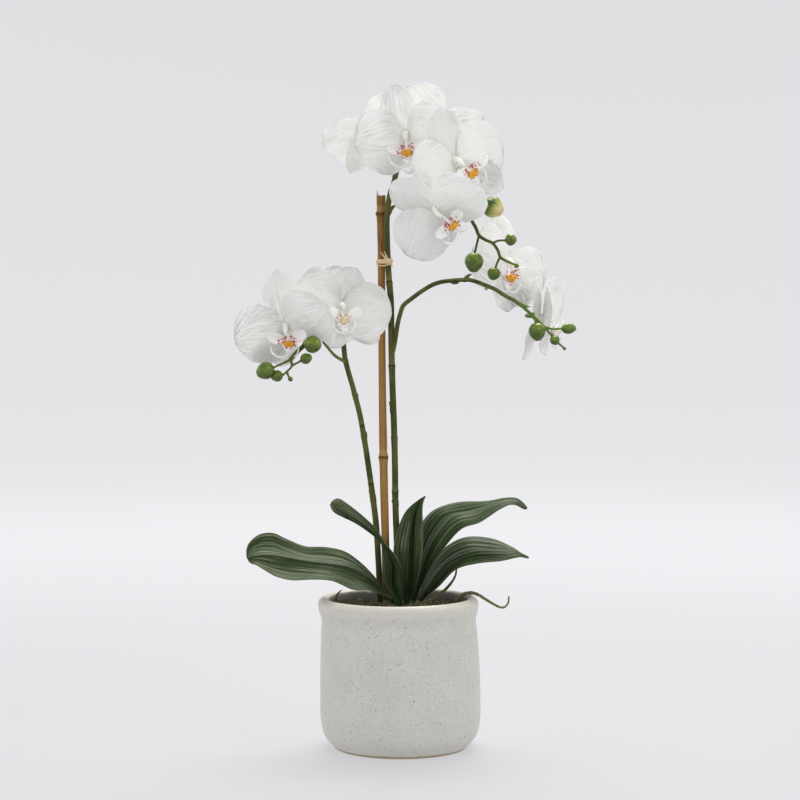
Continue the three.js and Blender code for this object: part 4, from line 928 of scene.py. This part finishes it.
def bamboo_look():
    look = Look("bamboo", Roughness=0.58, Specular_IOR_Level=0.2)
    spot = look.spot()
    height = look.part(spot, 2)
    streaks = look.noise(look.times(spot, (1.1, 1.1, 0.03)), 1.0, detail=4, roughness=0.6)
    blotch = look.noise(look.times(spot, (0.2, 0.2, 0.035)), 1.0, detail=4)
    tone = look.blend(look.band(streaks, 0.32, 0.68), (0.13, 0.055, 0.013), (0.37, 0.195, 0.050))
    tone = look.wash(tone, blotch, 0.5, 0.75, 0.55, (0.11, 0.05, 0.018))
    low = look.band(height, 470, 400, 0, 0.6)
    tone = look.blend(low, tone, (0.42, 0.225, 0.062))
    # painted shade: the cane darkens below 200 mm, down among the leaves
    tone = look.wash(tone, height, 200, 172, 0.85, (0.045, 0.038, 0.016))
    for node in STAKE_NODES:
        pale = look.math("ABSOLUTE", look.math("SUBTRACT", height, node + 4))
        tone = look.wash(tone, pale, 4.5, 1.0, 0.5, (0.45, 0.29, 0.12))
        off = look.math("ABSOLUTE", look.math("SUBTRACT", height, node - 0.6))
        tone = look.wash(tone, off, 1.8, 0.6, 0.85, (0.09, 0.04, 0.015))
    look.colour(tone)
    look.bump(streaks, 0.25)
    look.bump(look.noise(look.times(spot, (3, 3, 0.05)), 1.0), 0.1)
    return look.material


def tie_route(radius, height, tilt, phase):
    """A route round the stake and the stem that are tied together, a little more than one turn long."""
    route = []
    for share in np.linspace(0, 1.02, 36)[::2]:
        turn = phase + 2 * math.pi * share
        out = (math.cos(turn), math.sin(turn))
        held = max(TIE_HELD, key=lambda stem: stem["x"] * out[0] + stem["y"] * out[1] + stem["radius"])
        wide = held["radius"] + radius
        lift = height + tilt * math.cos(turn) + 0.25 * math.sin(3 * turn + phase)
        route.append([held["x"] + wide * out[0], held["y"] + wide * out[1], lift])
    return route


def make_tie():
    shape = Shape()
    for radius, rise, tilt, phase, width in TIE_TURNS:
        route = tie_route(radius, TIE_HEIGHT + rise, tilt, phase)
        add_route(shape, route, [width, width], 60, 8, flat=0.42, tag=phase)
    for route, width in TIE_ENDS:
        add_route(shape, route, [width, width, 0.8 * width, 0.35 * width], 20, 7, flat=0.45, tag=width)
    for index, (lean, width) in enumerate(KNOT_STRANDS):
        front = 0.2 * index
        route = np.array([[-2.3, 0.9, -1.8 * lean], [-0.8, -0.9 - front, -0.6 * lean],
                          [0.9, -0.8 - front, 0.8 * lean], [2.2, 1.1, 1.9 * lean]]) + TIE_KNOT
        add_route(shape, route, [width, width], 16, 8, flat=0.6, tag=index)
    piece = shape.build("raffia_tie_strands", [raffia_look()])
    finish_piece(piece, "raffia", "raffia_tie")


def raffia_look():
    look = Look("raffia", Roughness=0.8, Sheen_Weight=0.1)
    spot = look.spot()
    place = look.place()
    fibres = look.noise(look.times(place, (0.12, 5, 5)), 1.0, detail=4)
    patches = look.noise(spot, 0.5, detail=3)
    tone = look.blend(look.band(fibres, 0.35, 0.65), (0.45, 0.28, 0.11), (0.86, 0.68, 0.40))
    look.colour(look.wash(tone, patches, 0.45, 0.7, 0.6, (0.92, 0.80, 0.56)))
    look.bump(fibres, 0.15)
    return look.material


# Flower spikes


def add_stem(shape, route, radii_table, sides, steps, nodes):
    """A stem that swells at the nodes that carry its bracts, which are given as heights."""
    centres, reach = even_curve(route, steps)
    radii = spread(radii_table, reach / reach[-1])
    for node in nodes:
        off = reach - reach[np.argmin(np.abs(centres[:, 2] - node))]
        radii = radii * (1 + 0.13 * bell(off, 1.1) + 0.06 * bell(off + 3, 3))
    add_tube(shape, centres, radii, sides, rounded=False)


def add_bract(shape, foot, tip, radius):
    """A papery scale that clasps the stem at its foot and ends in a point."""
    foot, tip = np.array(foot, float), np.array(tip, float)
    bow = unit(np.cross(tip - foot, [0.0, 1.0, 0.0])) * 0.10 * np.linalg.norm(tip - foot)
    middle = (foot + tip) / 2 + bow * (1 if bow[0] * (tip - foot)[0] < 0 else -1)
    radii = [radius * 1.02, radius, 0.86 * radius, 0.6 * radius, 0.28]
    add_route(shape, [foot, middle, tip], radii, 14, 12, flat=0.8)


def add_bud(shape, bud):
    """A closed bud: an egg whose three outer tepals meet in shallow seams."""
    axis = unit(np.array(bud["at"], float) - np.array(bud["from"], float))
    side = unit(np.cross(axis, [0.3, 1.0, 0.2]))
    other = np.cross(axis, side)
    heights = np.linspace(-1, 1, 26)[1:-1]
    turns = circle(30)
    seams = 0.055 * bell(np.abs(np.sin(1.5 * (turns - 0.6))), 0.16)
    rows = []
    for height in heights:
        egg = math.sqrt(1 - height * height) * (1 - 0.14 * height - 0.10 * height * height)
        across = bud["radius"] * 1.04 * egg * (1 - seams * (1 - 0.4 * height))
        along = (0.5 * height + 0.02 * height ** 3) * bud["length"]
        rows.append(along * axis + across[:, None] * (
            np.cos(turns)[:, None] * side + np.sin(turns)[:, None] * other))
    places = [[height, math.cos(t), math.sin(t)] for height in heights for t in turns]
    shape.add(np.vstack(rows) + bud["at"], closed_faces(len(rows), len(turns)), places, 1)
    foot = np.array(bud["at"]) - axis * 0.5 * bud["length"]
    collar = [foot - axis * 1.2, foot + axis * 0.2, foot + axis * 0.09 * bud["length"]]
    add_route(shape, collar, np.array([0.9, 1.35, 1.6]) * min(1, bud["radius"] / 4), 6, 10)


def add_pedicels(shape, spike):
    for bloom in BLOOMS:
        if bloom["spike"] == spike:
            behind = bloom_frame(bloom)([[0, 0, HEART[0][1] - 5], [0, 0, HEART[0][1] + 1]])
            add_route(shape, [*bloom["stem"], *behind], PEDICEL_RADII, 40, 12, look=2)


def make_spike(spike, stems, twigs, buds, bracts):
    name = "spike_" + spike
    node = "flower_" + name
    shape = Shape()
    for stem in stems:
        add_stem(shape, *stem)
    for route in twigs:
        add_route(shape, route, TWIG_RADII, 20, 10)
    for bud in buds:
        add_bud(shape, bud)
    for bract in bracts:
        add_bract(shape, *bract)
    add_pedicels(shape, spike)
    looks = [stem_look(name + "_stem", STEM_RINGS[node]), bud_look(name + "_bud"), pedicel_look(name)]
    piece = shape.build(name, looks)
    finish_piece(piece, "stem", node)


def stem_look(name, rings=()):
    look = Look(name, Roughness=0.58, Specular_IOR_Level=0.2, Specular_Tint=(0.9, 1.0, 0.6, 1))
    spot = look.spot()
    long_marks = look.noise(look.times(spot, (0.9, 0.9, 0.05)), 1.0, detail=4)
    patches = look.noise(look.times(spot, (0.06, 0.06, 0.03)), 1.0, detail=3)
    tone = look.blend(look.band(patches, 0.35, 0.65), (0.040, 0.054, 0.013), (0.102, 0.105, 0.028))
    tone = look.wash(tone, long_marks, 0.5, 0.72, 0.5, (0.17, 0.155, 0.04))
    tone = look.wash(tone, long_marks, 0.45, 0.25, 0.5, (0.028, 0.045, 0.014))
    young = look.band(look.math("ABSOLUTE", look.part(spot, 0)), 70, 125, 0, 0.7)
    tone = look.blend(young, tone, (0.15, 0.235, 0.045))
    height = look.part(spot, 2)
    for ring in rings:
        off = look.math("SUBTRACT", height, ring)
        tone = look.blend(look.math("MULTIPLY", look.band(off, 9, 1, 0, 0.5), look.band(off, 0, 0.6)),
                          tone, (0.17, 0.165, 0.05))
        tone = look.wash(tone, look.math("ABSOLUTE", off), 1.3, 0.5, 0.85, (0.022, 0.028, 0.008))
    look.colour(tone)
    look.bump(long_marks, 0.25)
    look.bump(look.noise(spot, 1.2, detail=3), 0.08)
    return look.material


def pedicel_look(name):
    look = Look(name + "_pedicel", Roughness=0.5)
    spot = look.spot()
    patches = look.noise(spot, 0.12, detail=3)
    look.colour(look.blend(look.band(patches, 0.35, 0.65), (0.085, 0.135, 0.025), (0.16, 0.20, 0.05)))
    look.bump(look.noise(look.times(spot, (1, 1, 0.3)), 1.0), 0.15)
    return look.material


def bud_look(name):
    look = Look(name, Roughness=0.2, Specular_IOR_Level=0.55, Specular_Tint=(0.95, 1.0, 0.8, 1))
    place = look.place()
    height = look.part(place, 0)
    streaks = look.noise(look.times(place, (0.7, 3.2, 3.2)), 1.0, detail=3)
    spot = look.noise(look.spot(), 0.18, detail=3)
    tone = look.blend(look.band(spot, 0.35, 0.65), (0.072, 0.122, 0.007), (0.15, 0.235, 0.016))
    tone = look.wash(tone, height, 0.1, 1.0, 0.45, (0.25, 0.34, 0.05))
    tone = look.wash(tone, streaks, 0.52, 0.72, 0.5, (0.24, 0.31, 0.07))
    # painted shade: each bud is darker where its surface faces down
    up = look.part(look.add("NewGeometry").outputs["Normal"], 2)
    look.colour(look.wash(tone, up, 0.45, -0.7, 0.78, (0.030, 0.058, 0.004)))
    look.bump(streaks, 0.2, 0.6)
    return look.material


def cream_bud_look():
    look = Look("cream_bud", Roughness=0.4, Specular_IOR_Level=0.35)
    place = look.place()
    height = look.part(place, 0)
    streaks = look.noise(look.times(place, (0.9, 4.0, 4.0)), 1.0, detail=3)
    edge = look.math("ADD", height, look.math("MULTIPLY", look.math("SUBTRACT", streaks, 0.5), 0.9))
    green = look.blend(look.band(streaks, 0.46, 0.66, 0, 0.8), (0.045, 0.10, 0.008), (0.30, 0.38, 0.10))
    middle = look.blend(look.band(edge, -0.1, 0.35), green, (0.38, 0.40, 0.09))
    cream = look.blend(look.band(streaks, 0.4, 0.65), (0.62, 0.50, 0.22), (0.74, 0.64, 0.36))
    tone = look.blend(look.band(edge, 0.25, 0.7), middle, cream)
    look.colour(look.wash(tone, height, 0.75, 1.0, 0.5, (0.50, 0.38, 0.14)))
    look.bump(streaks, 0.25, 0.6)
    return look.material


def make_cream_bud():
    shape = Shape()
    add_bud(shape, CREAM_BUD)
    piece = shape.build("bud_opening", [stem_look("bud_opening_foot"), cream_bud_look()])
    finish_piece(piece, "bud", "bud_cream")


# Leaves and roots


def leaf_grid(rows, lengthwise, across):
    """The middle surface of a leaf: channelled along its midrib and pleated between its veins."""
    table = np.array(rows, float)
    far, middle, near = [spline(table[:, column], lengthwise) for column in range(3)]
    tangent = unit(np.gradient(middle, axis=0))
    start = LEAF["round_from"]
    closing = np.sqrt(np.clip(1 - ((lengthwise - start) / (1.004 - start)) ** 2, 0, 1))
    closing = np.where(lengthwise > start, closing, 1)
    grid = np.zeros((len(lengthwise), len(across), 3))
    for column, v in enumerate(across):
        edge = far if v < 0 else near
        reach = (edge - middle) * closing[:, None]
        up = unit(np.cross(tangent, edge - middle)) * (-1 if v < 0 else 1)
        size = np.linalg.norm(reach, axis=1)
        share = abs(v)
        arch = LEAF["arch"] * math.sin(math.pi * share)
        pleat = LEAF["pleat"] * math.cos(2 * math.pi * LEAF["veins"] * share)
        groove = -LEAF["groove"] * bell(share, 0.055)
        fade = np.sin(np.pi * np.clip(lengthwise, 0.02, 0.98)) ** 0.5 * np.minimum(1, size / 12)
        lift = -arch * size + (pleat * (1 - share ** 4) + groove) * fade
        grid[:, column] = middle + reach * share + up * lift[:, None]
    return grid


def make_leaf(node, rows):
    name = node + "_blade"
    lengthwise = np.linspace(0, 1, LEAF_ROWS)
    across = np.linspace(-1, 1, LEAF_COLUMNS)
    grid = leaf_grid(rows, lengthwise, across)
    places = np.stack(np.meshgrid(lengthwise, across, [LEAF_SEEDS[node]], indexing="ij"), -1)[:, :, 0]
    thickness = LEAF["middle"] + (LEAF["edge"] - LEAF["middle"]) * np.abs(across) ** 1.5
    shape = Shape()
    add_blade(shape, grid, thickness, places)
    piece = shape.build(name, [leaf_look(name, LEAF_SEEDS[node])], sharp=75)
    finish_piece(piece, "leaf", node)


def leaf_look(name, seed):
    look = Look(name, Roughness=0.5, Specular_IOR_Level=0.2, Specular_Tint=(0.9, 1.0, 0.6, 1))
    spot = look.spot()
    place = look.place()
    along, across = look.part(place, 0), look.part(place, 1)
    streak_place = look.join(look.math("MULTIPLY", along, 2.2), look.math("MULTIPLY", across, 15.0), seed)
    streaks = look.noise(streak_place, 1.0, detail=4, roughness=0.6)
    fine_place = look.join(look.math("MULTIPLY", along, 3.0), look.math("MULTIPLY", across, 30.0), seed)
    fine = look.noise(fine_place, 1.0, detail=2, roughness=0.5)
    patches = look.noise(spot, 0.045, detail=3)
    tone = look.blend(look.band(patches, 0.35, 0.65), (0.014, 0.034, 0.009), (0.033, 0.055, 0.016))
    tone = look.wash(tone, streaks, 0.5, 0.68, 0.5, (0.060, 0.086, 0.030))
    tone = look.wash(tone, streaks, 0.46, 0.3, 0.7, (0.006, 0.017, 0.006))
    tone = look.wash(tone, fine, 0.56, 0.62, 0.75, (0.18, 0.21, 0.14))
    tone = look.wash(tone, fine, 0.46, 0.40, 0.6, (0.008, 0.016, 0.006))
    side = look.math("ABSOLUTE", across)
    wave = look.math("COSINE", look.math("MULTIPLY", side, 2 * math.pi * LEAF["veins"]))
    tone = look.wash(tone, wave, 0.6, 1.0, 0.22, (0.10, 0.13, 0.055))
    tone = look.wash(tone, side, 0.05, 0.015, 0.75, (0.008, 0.016, 0.006))
    tone = look.wash(tone, side, 0.93, 1.0, 0.4, (0.10, 0.13, 0.05))
    # painted shade: each leaf darkens towards its foot at the crown
    tone = look.wash(tone, along, 0.42, 0.05, 0.6, (0.006, 0.017, 0.006))
    look.colour(tone)
    look.put(look.shader, "Roughness", look.band(streaks, 0.3, 0.7, 0.42, 0.58))
    look.bump(streaks, 0.35)
    look.bump(fine, 0.25)
    return look.material


def make_root(node, route, radii):
    centres, reach = even_curve(route, 90)
    wobble = 1 + 0.05 * np.sin(reach * 1.1 + 2) + 0.03 * np.sin(reach * 2.9)
    shape = Shape()
    add_tube(shape, centres, spread(radii, reach / reach[-1]) * wobble, 14)
    piece = shape.build(node + "_aerial", [root_look(node)])
    finish_piece(piece, "root", node)


def root_look(name):
    look = Look(name, Roughness=0.7)
    spot = look.spot()
    patches = look.noise(spot, 0.16, detail=4)
    fine = look.noise(spot, 1.5, detail=4)
    tone = look.blend(look.band(patches, 0.35, 0.65), (0.10, 0.11, 0.035), (0.22, 0.20, 0.085))
    look.colour(look.wash(tone, fine, 0.5, 0.75, 0.6, (0.30, 0.26, 0.14)))
    look.bump(fine, 0.3)
    return look.material


# Blooms. In a bloom's own frame x is its right, y its top and z is out of its face.


def bloom_frame(bloom):
    """A function from a bloom's own millimetres to the part's frame."""
    turn, tilt, roll = [math.radians(value) for value in (bloom["turn"], 90 - bloom["tilt"], bloom["roll"])]
    rz = np.array([[math.cos(turn), -math.sin(turn), 0], [math.sin(turn), math.cos(turn), 0], [0, 0, 1]])
    rx = np.array([[1, 0, 0], [0, math.cos(tilt), -math.sin(tilt)], [0, math.sin(tilt), math.cos(tilt)]])
    rr = np.array([[math.cos(roll), -math.sin(roll), 0], [math.sin(roll), math.cos(roll), 0], [0, 0, 1]])
    turning = rz @ rx @ rr
    return lambda points: bloom["size"] * np.asarray(points, float) @ turning.T + bloom["at"]


def tepal_grid(tepal, angle, lift, reach, seed):
    """The surface of one tepal, the same as the solid's but with a round tip and livelier edges."""
    form = tepal["form"]
    last, wide = form["outline"][-1]
    table = np.array([*form["outline"], [form["tip"], 0.0], [last, -wide]])
    knots = len(table) - 2
    place = 0.996 * (1 - (1 - np.linspace(0, 1, TEPAL_ROWS)) ** 1.15)
    rows = spline(np.column_stack([table, np.zeros(len(table))]), place * knots / (knots + 1))
    far, v = np.meshgrid(rows[:, 0], np.linspace(-1, 1, TEPAL_COLUMNS), indexing="ij")
    width = np.maximum(rows[:, 1], 0.012)[:, None]
    tip_share = np.clip((place * knots - (knots - 2)) / 2, 0, 1)[:, None]
    bow = form["bow"] * (far - BOW_CENTRE) * (1 - v ** 2) * (1 - tip_share ** 1.5)
    out = reach * tepal["length"] * (far + bow)
    side = 0.5 * tepal["width"] * width * v
    rise = tepal["length"] * (lift * far - form["bend"] * far ** 2)
    cup = form["cup"] * width ** 2 * v ** 2
    phase = form["phase"] + np.where(v < 0, RIPPLE["offset"], 0)
    ripple = form["wave"] * np.sin(RIPPLE["rate"] * far + phase) * v ** 2 * far
    shifts = np.random.default_rng(SEED + seed).uniform(0, 2 * math.pi, 6)
    edge = 0.55 * np.sin(15 * far + 2.2 * v + shifts[0]) * np.abs(v) ** 5 * np.minimum(1, far * 2)
    soft = 0.55 * np.sin(0.16 * side + shifts[1]) * np.sin(0.13 * out + shifts[2]) * far
    soft += 0.22 * np.sin(0.33 * side + 0.1 * out + shifts[3]) * far
    crease = -form["crease"] * bell(side, 1.1) * np.sin(np.pi * np.clip(far, 0, 1)) ** 0.7
    fold = 0.35 * bell(v - 0.42 * np.sign(shifts[4] - 3), 0.08) * (1 - far) * far * 3
    fine = 0.055 * np.sin(v * form["veins"] + 1.6 * np.sin(3 * far + shifts[5])) * np.clip(1.5 * far, 0, 1)
    away = tepal["base"] + rise + cup + ripple + edge + soft + crease + fold + fine
    turn = math.radians(angle)
    x = -math.sin(turn) * out + math.cos(turn) * side
    y = math.cos(turn) * out + math.sin(turn) * side
    return np.stack([x, y, away], -1), np.stack([far, v, np.full_like(v, seed + 0.5)], -1)


def add_column(shape, to_frame):
    """The column: a hooded finger that droops over the lip, with the cap of its anther at the end."""
    holder = Shape()
    add_route(holder, COLUMN_ROUTE, COLUMN_RADII, 30, 22, flat=0.92)
    tilt = math.radians(72)

    def cap_move(points):
        x, y, z = points.T
        return np.column_stack([x, y * math.cos(tilt) - z * math.sin(tilt) - 3.2,
                                y * math.sin(tilt) + z * math.cos(tilt) + 12.4])

    add_lathe(holder, CAP, 20, cap_move)
    shape.add(to_frame(np.vstack(holder.points)), holder.faces, np.vstack(holder.places), 1)


def make_bloom(bloom, number):
    to_frame = bloom_frame(bloom)
    shape = Shape()
    reach = bloom.get("reach", [1] * len(TEPALS))
    for index, tepal in enumerate(TEPALS):
        seed = 10 * number + index
        grid, places = tepal_grid(tepal, bloom["angles"][index], bloom["lifts"][index], reach[index], seed)
        across = np.abs(places[..., 1])
        thickness = TEPAL_THICKNESS * (1.15 - 0.55 * across ** 3) * (1.1 - 0.3 * places[..., 0])
        add_blade(shape, to_frame(grid), thickness * bloom["size"], places)
    # the waxy boss at the back, that the tepals grow from and the pedicel holds
    add_lathe(shape, HEART, 24, to_frame, look=1)
    add_column(shape, to_frame)
    name = bloom["name"]
    piece = shape.build("petals_" + name, [petal_look(name), column_look(name)], sharp=70)
    finish_piece(piece, "petal", "bloom_" + name)


def petal_look(name):
    # painted shade: white() darkens the petal colours of the blooms that the light reaches least
    shade = PETAL_SHADE.get(name, 1.0)

    def white(*tone):
        return tuple(shade * value for value in tone)

    look = Look("petal_" + name, Roughness=0.6, Specular_IOR_Level=0.25, Subsurface_Weight=0.3,
                Subsurface_Scale=0.004, Subsurface_Radius=(1.0, 0.99, 0.94))
    place = look.place()
    along, across, tag = [look.part(place, axis) for axis in range(3)]
    fan = look.math("MULTIPLY", across, look.math("ADD", 7.0, look.math("MULTIPLY", along, 15.0)))
    veins = look.noise(look.join(look.math("MULTIPLY", along, 2.2), fan, tag), 1.0, detail=2, distortion=0.3)
    creased = look.band(look.noise(look.spot(), 0.035, detail=1), 0.42, 0.62, 0.3, 1)
    line = look.math("ABSOLUTE", look.math("SUBTRACT", veins, 0.5))
    crease_shade = look.math("MULTIPLY", look.band(line, 0.035, 0.0, 0, 0.26), creased)
    fine_fan = look.math("MULTIPLY", across, look.math("ADD", 16.0, look.math("MULTIPLY", along, 30.0)))
    fine = look.noise(look.join(look.math("MULTIPLY", along, 3.5), fine_fan, tag), 1.0, detail=2)
    cloud = look.noise(look.spot(), 0.05, detail=3)
    tone = look.blend(look.band(cloud, 0.35, 0.65), white(0.885, 0.89, 0.85), white(0.94, 0.945, 0.90))
    # painted shade: darker colour along the creases and the fine veins
    tone = look.blend(crease_shade, tone, white(0.77, 0.78, 0.72))
    tone = look.blend(look.band(fine, 0.42, 0.34, 0, 0.12), tone, white(0.80, 0.81, 0.77))
    tone = look.wash(tone, along, 0.30, 0.05, 0.5, (0.84, 0.86, 0.72))
    look.colour(look.wash(tone, along, 0.9, 1.0, 0.5, (0.96, 0.96, 0.95)))
    look.bump(look.math("MULTIPLY", look.band(line, 0.06, 0.0), creased), 0.4, 0.85)
    look.bump(fine, 0.27, 0.75)
    look.bump(look.noise(look.spot(), 1.2, detail=3), 0.05)
    return look.material


def column_look(name):
    look = Look("column_" + name, Roughness=0.55, Specular_IOR_Level=0.3, Subsurface_Weight=0.15,
                Subsurface_Scale=0.002, Subsurface_Radius=(1.0, 0.98, 0.9))
    cloud = look.noise(look.spot(), 0.35, detail=3)
    look.colour(look.blend(look.band(cloud, 0.35, 0.65), (0.86, 0.87, 0.77), (0.92, 0.92, 0.88)))
    look.bump(cloud, 0.2)
    return look.material


# Lips. The middle lobe hangs from the claw, the side lobes spread beside it, and tendrils curl at its tip.


def lean_of(bloom):
    return np.array([*bloom.get("lean", [0, 0]), 0.0])


def side_lobe(side, perk):
    """One side lobe: a rounded wing that spreads from the claw and cups round the callus."""
    share = np.linspace(0, 1, LOBE_ROWS)
    route = spline(LOBE_ROUTE, share) * [side, 1, 1]
    route[:, 1] += perk * share ** 1.5
    v = np.linspace(-1, 1, LIP_COLUMNS)[None]
    tangent = unit(np.gradient(route, axis=0))
    facing = np.array([0.0, 0.25, 1.0])
    facing = unit(facing - tangent * (tangent @ facing)[:, None])
    across = np.cross(facing, tangent) * side
    off = np.interp(share, *zip(*LOBE_WIDTHS))[:, None] * v
    share = share[:, None]
    rise = LOBE["cup"] * off ** 2 + LOBE["stand"] * np.maximum(off, 0) + LOBE["curl"] * share ** 6
    rise = rise + LOBE["flutter"] * np.sin(7 * share + 3 * v) * np.abs(v) ** 3
    return route[:, None] + off[..., None] * across[:, None] + rise[..., None] * facing[:, None]


def middle_lobe():
    """The arrow-shaped middle lobe, from the claw down to its narrow tip."""
    share, v = np.meshgrid(np.linspace(0, 1, MIDDLE_ROWS), np.linspace(-1, 1, LIP_COLUMNS), indexing="ij")
    down = LIP_REACH * share
    forward = 0.42 * down - 0.022 * down * down
    keel = 0.9 * np.sin(math.pi * np.minimum(1, share * 1.15))
    across = np.interp(share, *zip(*LIP_MIDDLE_WIDTHS)) * v
    cup = -0.055 * across ** 2 * (1 - 0.35 * share) + keel * bell(v, 0.28)
    return np.stack([across, LIP_HEART[1] - down + 0.10 * np.abs(across), LIP_HEART[2] + forward + cup], -1)


def lobe_places(grid, kind):
    along, across = np.meshgrid(np.linspace(0, 1, len(grid)), np.linspace(-1, 1, LIP_COLUMNS), indexing="ij")
    return np.stack([along, across, np.full_like(along, kind)], -1)


def make_lip(bloom):
    to_frame = bloom_frame(bloom)
    lean = lean_of(bloom)
    shape = Shape()
    for side in (-1, 1):
        grid = side_lobe(side, bloom.get("perk", 0))
        add_blade(shape, to_frame(grid + lean), LIP_THICKNESS, lobe_places(grid, 1))
    grid = middle_lobe()
    add_blade(shape, to_frame(grid + lean), LIP_THICKNESS, lobe_places(grid, 2))
    claw, reach = even_curve(CLAW_ROUTE, 18)
    share = reach / reach[-1]
    add_tube(shape, to_frame(claw + lean * share[:, None]), spread(CLAW_RADII, share), 16, tag=4)
    tip = [0, LIP_HEART[1] - LIP_REACH, LIP_HEART[2] + LIP_TIP_FORWARD]
    for side, size in WHISKERS:
        route, reach = even_curve(np.array(WHISKER_ROUTE) * [side * size, 1, 1] + tip, 34)
        add_tube(shape, to_frame(route + lean), spread(WHISKER_RADII, reach / reach[-1]), 10, flat=0.5, tag=7)
    name = bloom["name"]
    piece = shape.build("labellum_" + name, [lip_look(name)], sharp=70)
    finish_piece(piece, "lip", "lip_" + name)


def lip_look(name):
    look = Look("lip_" + name, Roughness=0.5, Subsurface_Weight=0.25, Subsurface_Scale=0.002,
                Subsurface_Radius=(1.0, 0.98, 0.95), Specular_IOR_Level=0.3)
    strength = PALE_LIPS.get(name, 1.0)
    spot = look.spot()
    place = look.place()
    along, across, kind = [look.part(place, axis) for axis in range(3)]
    cloud = look.noise(spot, 0.2, detail=3)
    tone = look.blend(look.band(cloud, 0.35, 0.65), (0.88, 0.875, 0.85), (0.95, 0.95, 0.93))
    wobble = look.math("MULTIPLY", look.math("SUBTRACT", cloud, 0.5), 0.5)
    reach = look.math("ADD", along, wobble)
    lobes = look.math("LESS_THAN", look.math("ABSOLUTE", look.math("SUBTRACT", kind, 1.0)), 0.3)
    middle = look.math("LESS_THAN", look.math("ABSOLUTE", look.math("SUBTRACT", kind, 2.0)), 0.3)
    cells = look.add("TexVoronoi", {"Vector": spot, "Scale": 0.4})
    size = look.math("MULTIPLY_ADD", look.part(cells.outputs["Color"], 1), 0.18, 0.3)
    dot = look.band(look.math("SUBTRACT", cells.outputs["Distance"], size), 0.05, -0.05)
    picked = look.math("GREATER_THAN", look.part(cells.outputs["Color"], 0), 0.12)
    near = look.math("ADD", look.math("MULTIPLY", look.band(reach, 0.56, 0.38), lobes),
                     look.math("MULTIPLY", look.band(reach, 0.72, 0.5), middle))
    mark = look.math("MULTIPLY", look.math("MULTIPLY", dot, picked), near)
    blush = look.math("MULTIPLY", look.band(reach, 0.42, 0.1, 0, 0.4 * strength), lobes)
    tone = look.blend(blush, tone, (0.80, 0.42, 0.36))
    outer = look.band(look.math("ABSOLUTE", across), 0.35, 0.6)
    rim = look.math("MULTIPLY", look.band(reach, 0.32, 0.2), outer)
    rim = look.math("MULTIPLY", look.math("MULTIPLY", rim, lobes), 0.7 * strength)
    tone = look.blend(rim, tone, (0.33, 0.03, 0.04))
    yellow = look.math("MULTIPLY", look.band(reach, 0.34, 0.14, 0, 0.8 * strength), middle)
    tone = look.blend(yellow, tone, (0.86, 0.52, 0.12))
    look.colour(look.blend(look.math("MULTIPLY", mark, 0.95 * strength), tone, (0.40, 0.012, 0.045)))
    look.bump(look.noise(spot, 0.9, detail=3), 0.15)
    return look.material


def make_callus(bloom):
    """The forked orange lump between the side lobes."""
    shape = Shape()
    to_frame = bloom_frame(bloom)
    middle = np.array(CALLUS_AT) + lean_of(bloom)

    def seat(points):
        return to_frame(points * CALLUS_SIZE + middle)

    for side in (-1, 1):
        add_lathe(shape, CALLUS, 22, lambda points: seat(lump(points, side)), tag=side)
        horn, reach = even_curve(np.array(CALLUS_HORN) * [side, 1, 1], 10)
        radii = spread(HORN_RADII, reach / reach[-1]) * CALLUS_SIZE
        add_tube(shape, seat(horn), radii, 10, tag=side)
    name = bloom["name"]
    piece = shape.build("crest_" + name, [callus_look(name)])
    finish_piece(piece, "callus", "callus_" + name)


def lump(points, side):
    x, y, z = points.T
    bumps = 1 + 0.08 * np.sin(2.3 * x + side) * np.sin(2.1 * y) + 0.05 * np.sin(3.1 * z)
    return np.column_stack([x * bumps * 0.95 + 1.35 * side, y * bumps * 1.15, z])


def callus_look(name):
    look = Look("callus_" + name, Roughness=0.35, Specular_IOR_Level=0.4)
    spot = look.spot()
    cloud = look.noise(spot, 0.45, detail=3)
    tone = look.blend(look.band(cloud, 0.35, 0.65), (0.68, 0.25, 0.006), (0.90, 0.48, 0.02))
    cells = look.add("TexVoronoi", {"Vector": spot, "Scale": 0.8})
    picked = look.math("GREATER_THAN", look.part(cells.outputs["Color"], 0), 0.78)
    dot = look.math("MULTIPLY", look.math("LESS_THAN", cells.outputs["Distance"], 0.3), picked)
    tone = look.blend(look.math("MULTIPLY", dot, 0.6), tone, (0.45, 0.05, 0.01))
    pale = 1 - PALE_LIPS.get(name, 1.0)
    look.colour(look.blend(look.band(cloud, 0.2, 0.8, 1.6 * pale, 2.2 * pale), tone, (0.80, 0.74, 0.55)))
    look.bump(cloud, 0.25)
    return look.material


# The whole plant


make_camera()
make_world()
make_floor()
for light in LIGHTS:
    make_light(*light)

make_pot()
make_soil()
make_chips()
make_moss()
make_stake()
make_tie()
make_spike("tall",
           [(TALL_STEM, TALL_RADII, 22, 260, TALL_NODES), (TALL_SPRAY, SPRAY_RADII, 14, 90, ()),
            (BRANCH, BRANCH_RADII, 18, 170, ())],
           TALL_TWIGS + BRANCH_TWIGS, TALL_BUDS + BRANCH_BUDS, TALL_BRACTS + BRANCH_BRACTS)
make_spike("left", [(LEFT_STEM, LEFT_RADII, 20, 240, LEFT_NODES)], LEFT_TWIGS, LEFT_BUDS, LEFT_BRACTS)
make_cream_bud()
for node, rows in LEAVES.items():
    make_leaf(node, rows)
for node, root in ROOTS.items():
    make_root(node, root["route"], root["radii"])
for number, bloom in enumerate(BLOOMS):
    make_bloom(bloom, number)
    make_lip(bloom)
    make_callus(bloom)
